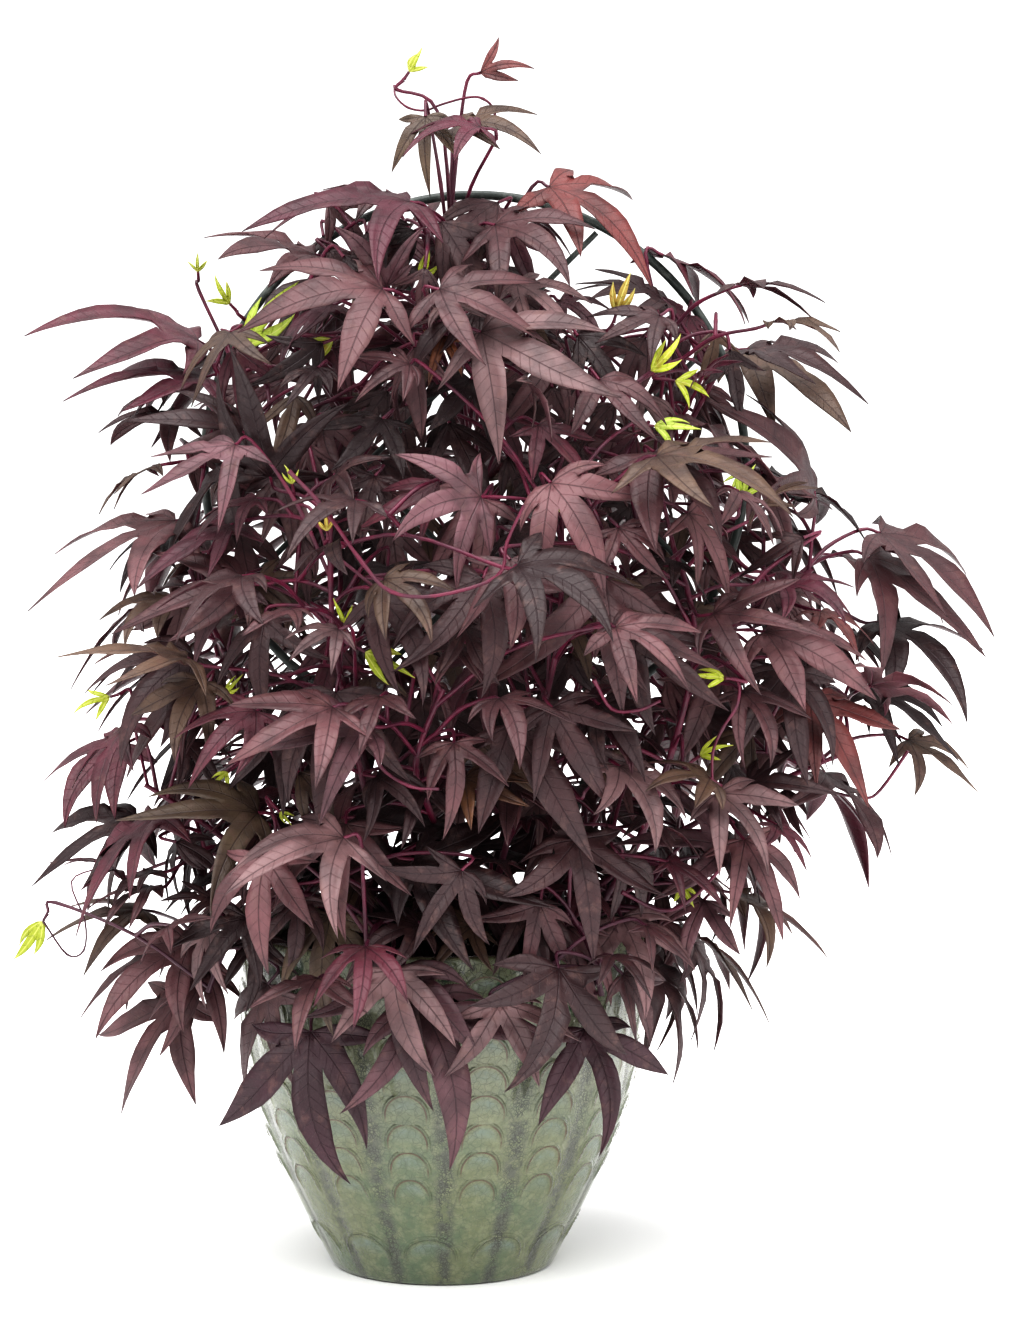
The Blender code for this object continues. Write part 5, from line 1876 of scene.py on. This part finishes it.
class VINE_OT_leaves(bpy.types.Operator):
    """Grows the plant and gives each vine its blades, stem and stalks"""

    bl_idname = "vine.leaves"
    bl_label = "Leaves and stems"

    def execute(self, context):
        looks = context.scene.leaf_looks
        veins = vein_group()
        blade_material("leaf_blade", veins, looks, 0.0, RIB_COLOUR, 0.60)
        blade_material("leaf_underside", veins, looks, 0.55, UNDERSIDE_RIB, 0.75)
        young_material("young_blade", veins, looks, 0.0)
        young_material("young_underside", veins, looks, 0.2)
        stem_material(looks)
        plant = grow_plant()
        for name in (*VINES, *YOUNG_SHOOTS, "sprouts"):
            dress_vine(name, plant, looks)
        return {"FINISHED"}


class VINE_OT_loose_stems(bpy.types.Operator):
    """Adds the bare stems that show outside the leaves"""

    bl_idname = "vine.loose_stems"
    bl_label = "Loose stems"

    def execute(self, context):
        draw = random.Random(LOOSE_SEED)
        routes = []
        for depth_mm, radius_mm, pixels in LOOSE_STEMS:
            points = [seen_at(pixel, depth_mm / 1000) for pixel in pixels]
            for place, point in enumerate(points):
                point.y += 0.006 * math.sin(1.7 * place)
            routes.append(fine_stem(points, radius_mm / 1000, radius_mm / 1300, draw, 0.3))
        belong(bars("loose_stems", routes, 8, bpy.data.materials["stem_skin"]), "foliage")
        return {"FINISHED"}


class VINE_OT_pot(bpy.types.Operator):
    """Throws the pot with its scales in relief, and glazes it"""

    bl_idname = "vine.pot"
    bl_label = "Pot"

    def execute(self, context):
        looks = context.scene.pot_looks
        piece = placed("glazed_pot", pot_mesh(looks))
        piece.data.materials.append(glaze_material(looks))
        piece.data.polygons.foreach_set("use_smooth", [True] * len(piece.data.polygons))
        drill_drains(piece)
        belong(piece, "glaze", "pot")
        return {"FINISHED"}


class VINE_OT_soil(bpy.types.Operator):
    """Roughens the soil, and strews crumbs and pale grains on it"""

    bl_idname = "vine.soil"
    bl_label = "Soil"

    def execute(self, context):
        earth = soil_material()
        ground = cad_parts["soil"]
        ground.data.materials.clear()
        ground.data.materials.append(earth)
        patch = bmesh.new()
        bmesh.ops.create_circle(patch, cap_ends=True, segments=48, radius=CRUMB_SPREAD)
        bmesh.ops.translate(patch, verts=patch.verts, vec=UP * (SOIL_LEVEL + SOIL_CROWN * 0.5))
        for name, density, size, seed, finish in (
            ("soil_crumbs", 36000.0, 0.0024, 3, earth),
            ("soil_grains", 9000.0, 0.0014, 8, grain_material()),
        ):
            source = bpy.data.meshes.new(f"{name}_patch")
            patch.to_mesh(source)
            values = {"Density": density, "Size": size, "Seed": seed, "Finish": finish}
            belong(made_by("Strewn grains", name, source, values), "earth")
        patch.free()
        return {"FINISHED"}


class VINE_OT_trellis(bpy.types.Operator):
    """Draws the hoop and the lattice as fine round wire"""

    bl_idname = "vine.trellis"
    bl_label = "Trellis"

    def execute(self, context):
        coating = wire_material()
        route = smooth_route(hoop_route(), 4)
        hoop = bars("wire_hoop", [(route, [HOOP_TUBE] * len(route))], 20, coating)
        belong(hoop, "coated_steel", "trellis_hoop")
        for name, (low, high) in lattice_rods().items():
            points = [low.lerp(high, step / ROD_STEPS) for step in range(ROD_STEPS + 1)]
            rod = bars(name.replace("trellis", "wire"), [(points, [ROD_TUBE] * len(points))], 14, coating)
            belong(rod, "coated_steel", name)
        return {"FINISHED"}


class VINE_OT_stage(bpy.types.Operator):
    """Sets the floor, the light and the camera"""

    bl_idname = "vine.stage"
    bl_label = "Stage"

    def execute(self, context):
        looks = context.scene.stage_looks
        lay_floor(looks)
        light_stage(context, looks)
        aim_camera(context)
        return {"FINISHED"}


def lay_floor(looks):
    shape = bmesh.new()
    bmesh.ops.create_grid(shape, x_segments=1, y_segments=1, size=FLOOR_HALF)
    mesh = bpy.data.meshes.new("floor")
    shape.to_mesh(mesh)
    shape.free()
    floor = placed("floor", mesh)
    floor.location = (0.0, 0.0, FLOOR_HEIGHT)
    skin = Finish("pale_floor", (looks.floor_shade,) * 3)
    mesh.materials.append(skin.done(0.9, more={"Specular IOR Level": 0.1}))
    floor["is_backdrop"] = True


def light_stage(context, looks):
    """A white sky, brighter where the camera sees it, a broad sun and a softer light from the right."""
    world = bpy.data.worlds.new("pale_room")
    world.use_nodes = True
    tree = world.node_tree
    seen = Value(tree, node(tree, "ShaderNodeLightPath").outputs["Is Camera Ray"])
    strength = seen.scaled(looks.backdrop_power - looks.sky_power, looks.sky_power)
    sky = {"Color": (1.0, 1.0, 1.0, 1.0), "Strength": strength}
    connect(tree, tree.nodes["Background"].inputs, sky)
    context.scene.world = world
    key = bpy.data.lights.new("key_light", "SUN")
    key.energy = looks.key_power
    key.angle = KEY_ANGLE
    fill = bpy.data.lights.new("fill_light", "AREA")
    fill.energy = looks.fill_power
    fill.size = FILL_SIZE
    for light, place in ((key, KEY_PLACE), (fill, FILL_PLACE)):
        lamp = placed(light.name, light)
        lamp.location = place
        lamp.rotation_euler = (EYE_TARGET - Vector(place)).to_track_quat("-Z", "Y").to_euler()


def aim_camera(context):
    """The viewpoint that the leaves' places were read from, for a picture FRAME_HEIGHT pixels high."""
    lens = bpy.data.cameras.new("camera")
    lens.sensor_width = SENSOR
    lens.lens = SENSOR * PIXELS_PER_TANGENT / FRAME_HEIGHT
    camera = placed("camera", lens)
    forward = Vector((0.0, math.cos(EYE_TILT), -math.sin(EYE_TILT)))
    camera.location = EYE_TARGET - forward * EYE_DISTANCE
    camera.rotation_euler = (math.pi / 2 - EYE_TILT, 0.0, 0.0)
    context.scene.camera = camera
    context.scene.view_settings.view_transform = "Standard"
    context.scene.view_settings.look = "High Contrast"


class VINE_PT_panel(bpy.types.Panel):
    bl_label = "Sweet Potato Vine"
    bl_idname = "VINE_PT_panel"
    bl_space_type = "VIEW_3D"
    bl_region_type = "UI"
    bl_category = "Vine"

    def draw(self, context):
        for looks, operators in (
            (context.scene.pot_looks, ("vine.pot", "vine.soil", "vine.trellis")),
            (context.scene.leaf_looks, ("vine.leaves", "vine.loose_stems")),
            (context.scene.stage_looks, ("vine.stage",)),
        ):
            box = self.layout.box()
            for name in looks.__annotations__:
                box.prop(looks, name)
            for operator in operators:
                box.operator(operator)


OPERATORS = (
    VINE_OT_pot,
    VINE_OT_soil,
    VINE_OT_trellis,
    VINE_OT_leaves,
    VINE_OT_loose_stems,
    VINE_OT_stage,
)
LOOKS = {"leaf_looks": LeafLooks, "pot_looks": PotLooks, "stage_looks": StageLooks}


def register():
    for name, looks in LOOKS.items():
        bpy.utils.register_class(looks)
        setattr(bpy.types.Scene, name, PointerProperty(type=looks))
    for item in (*OPERATORS, VINE_PT_panel):
        bpy.utils.register_class(item)


def unregister():
    for item in (VINE_PT_panel, *reversed(OPERATORS)):
        bpy.utils.unregister_class(item)
    for name, looks in LOOKS.items():
        delattr(bpy.types.Scene, name)
        bpy.utils.unregister_class(looks)


def main():
    register()
    tube_tree()
    crumb_tree()
    bpy.ops.vine.pot()
    bpy.ops.vine.soil()
    bpy.ops.vine.trellis()
    bpy.ops.vine.leaves()
    bpy.ops.vine.loose_stems()
    bpy.ops.vine.stage()
    sizes = {"cad": CAD_BOX, "visual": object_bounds()}
    sizes = {name: [[float(v) for v in corner] for corner in box] for name, box in sizes.items()}


if __name__ == "__main__":
    main()
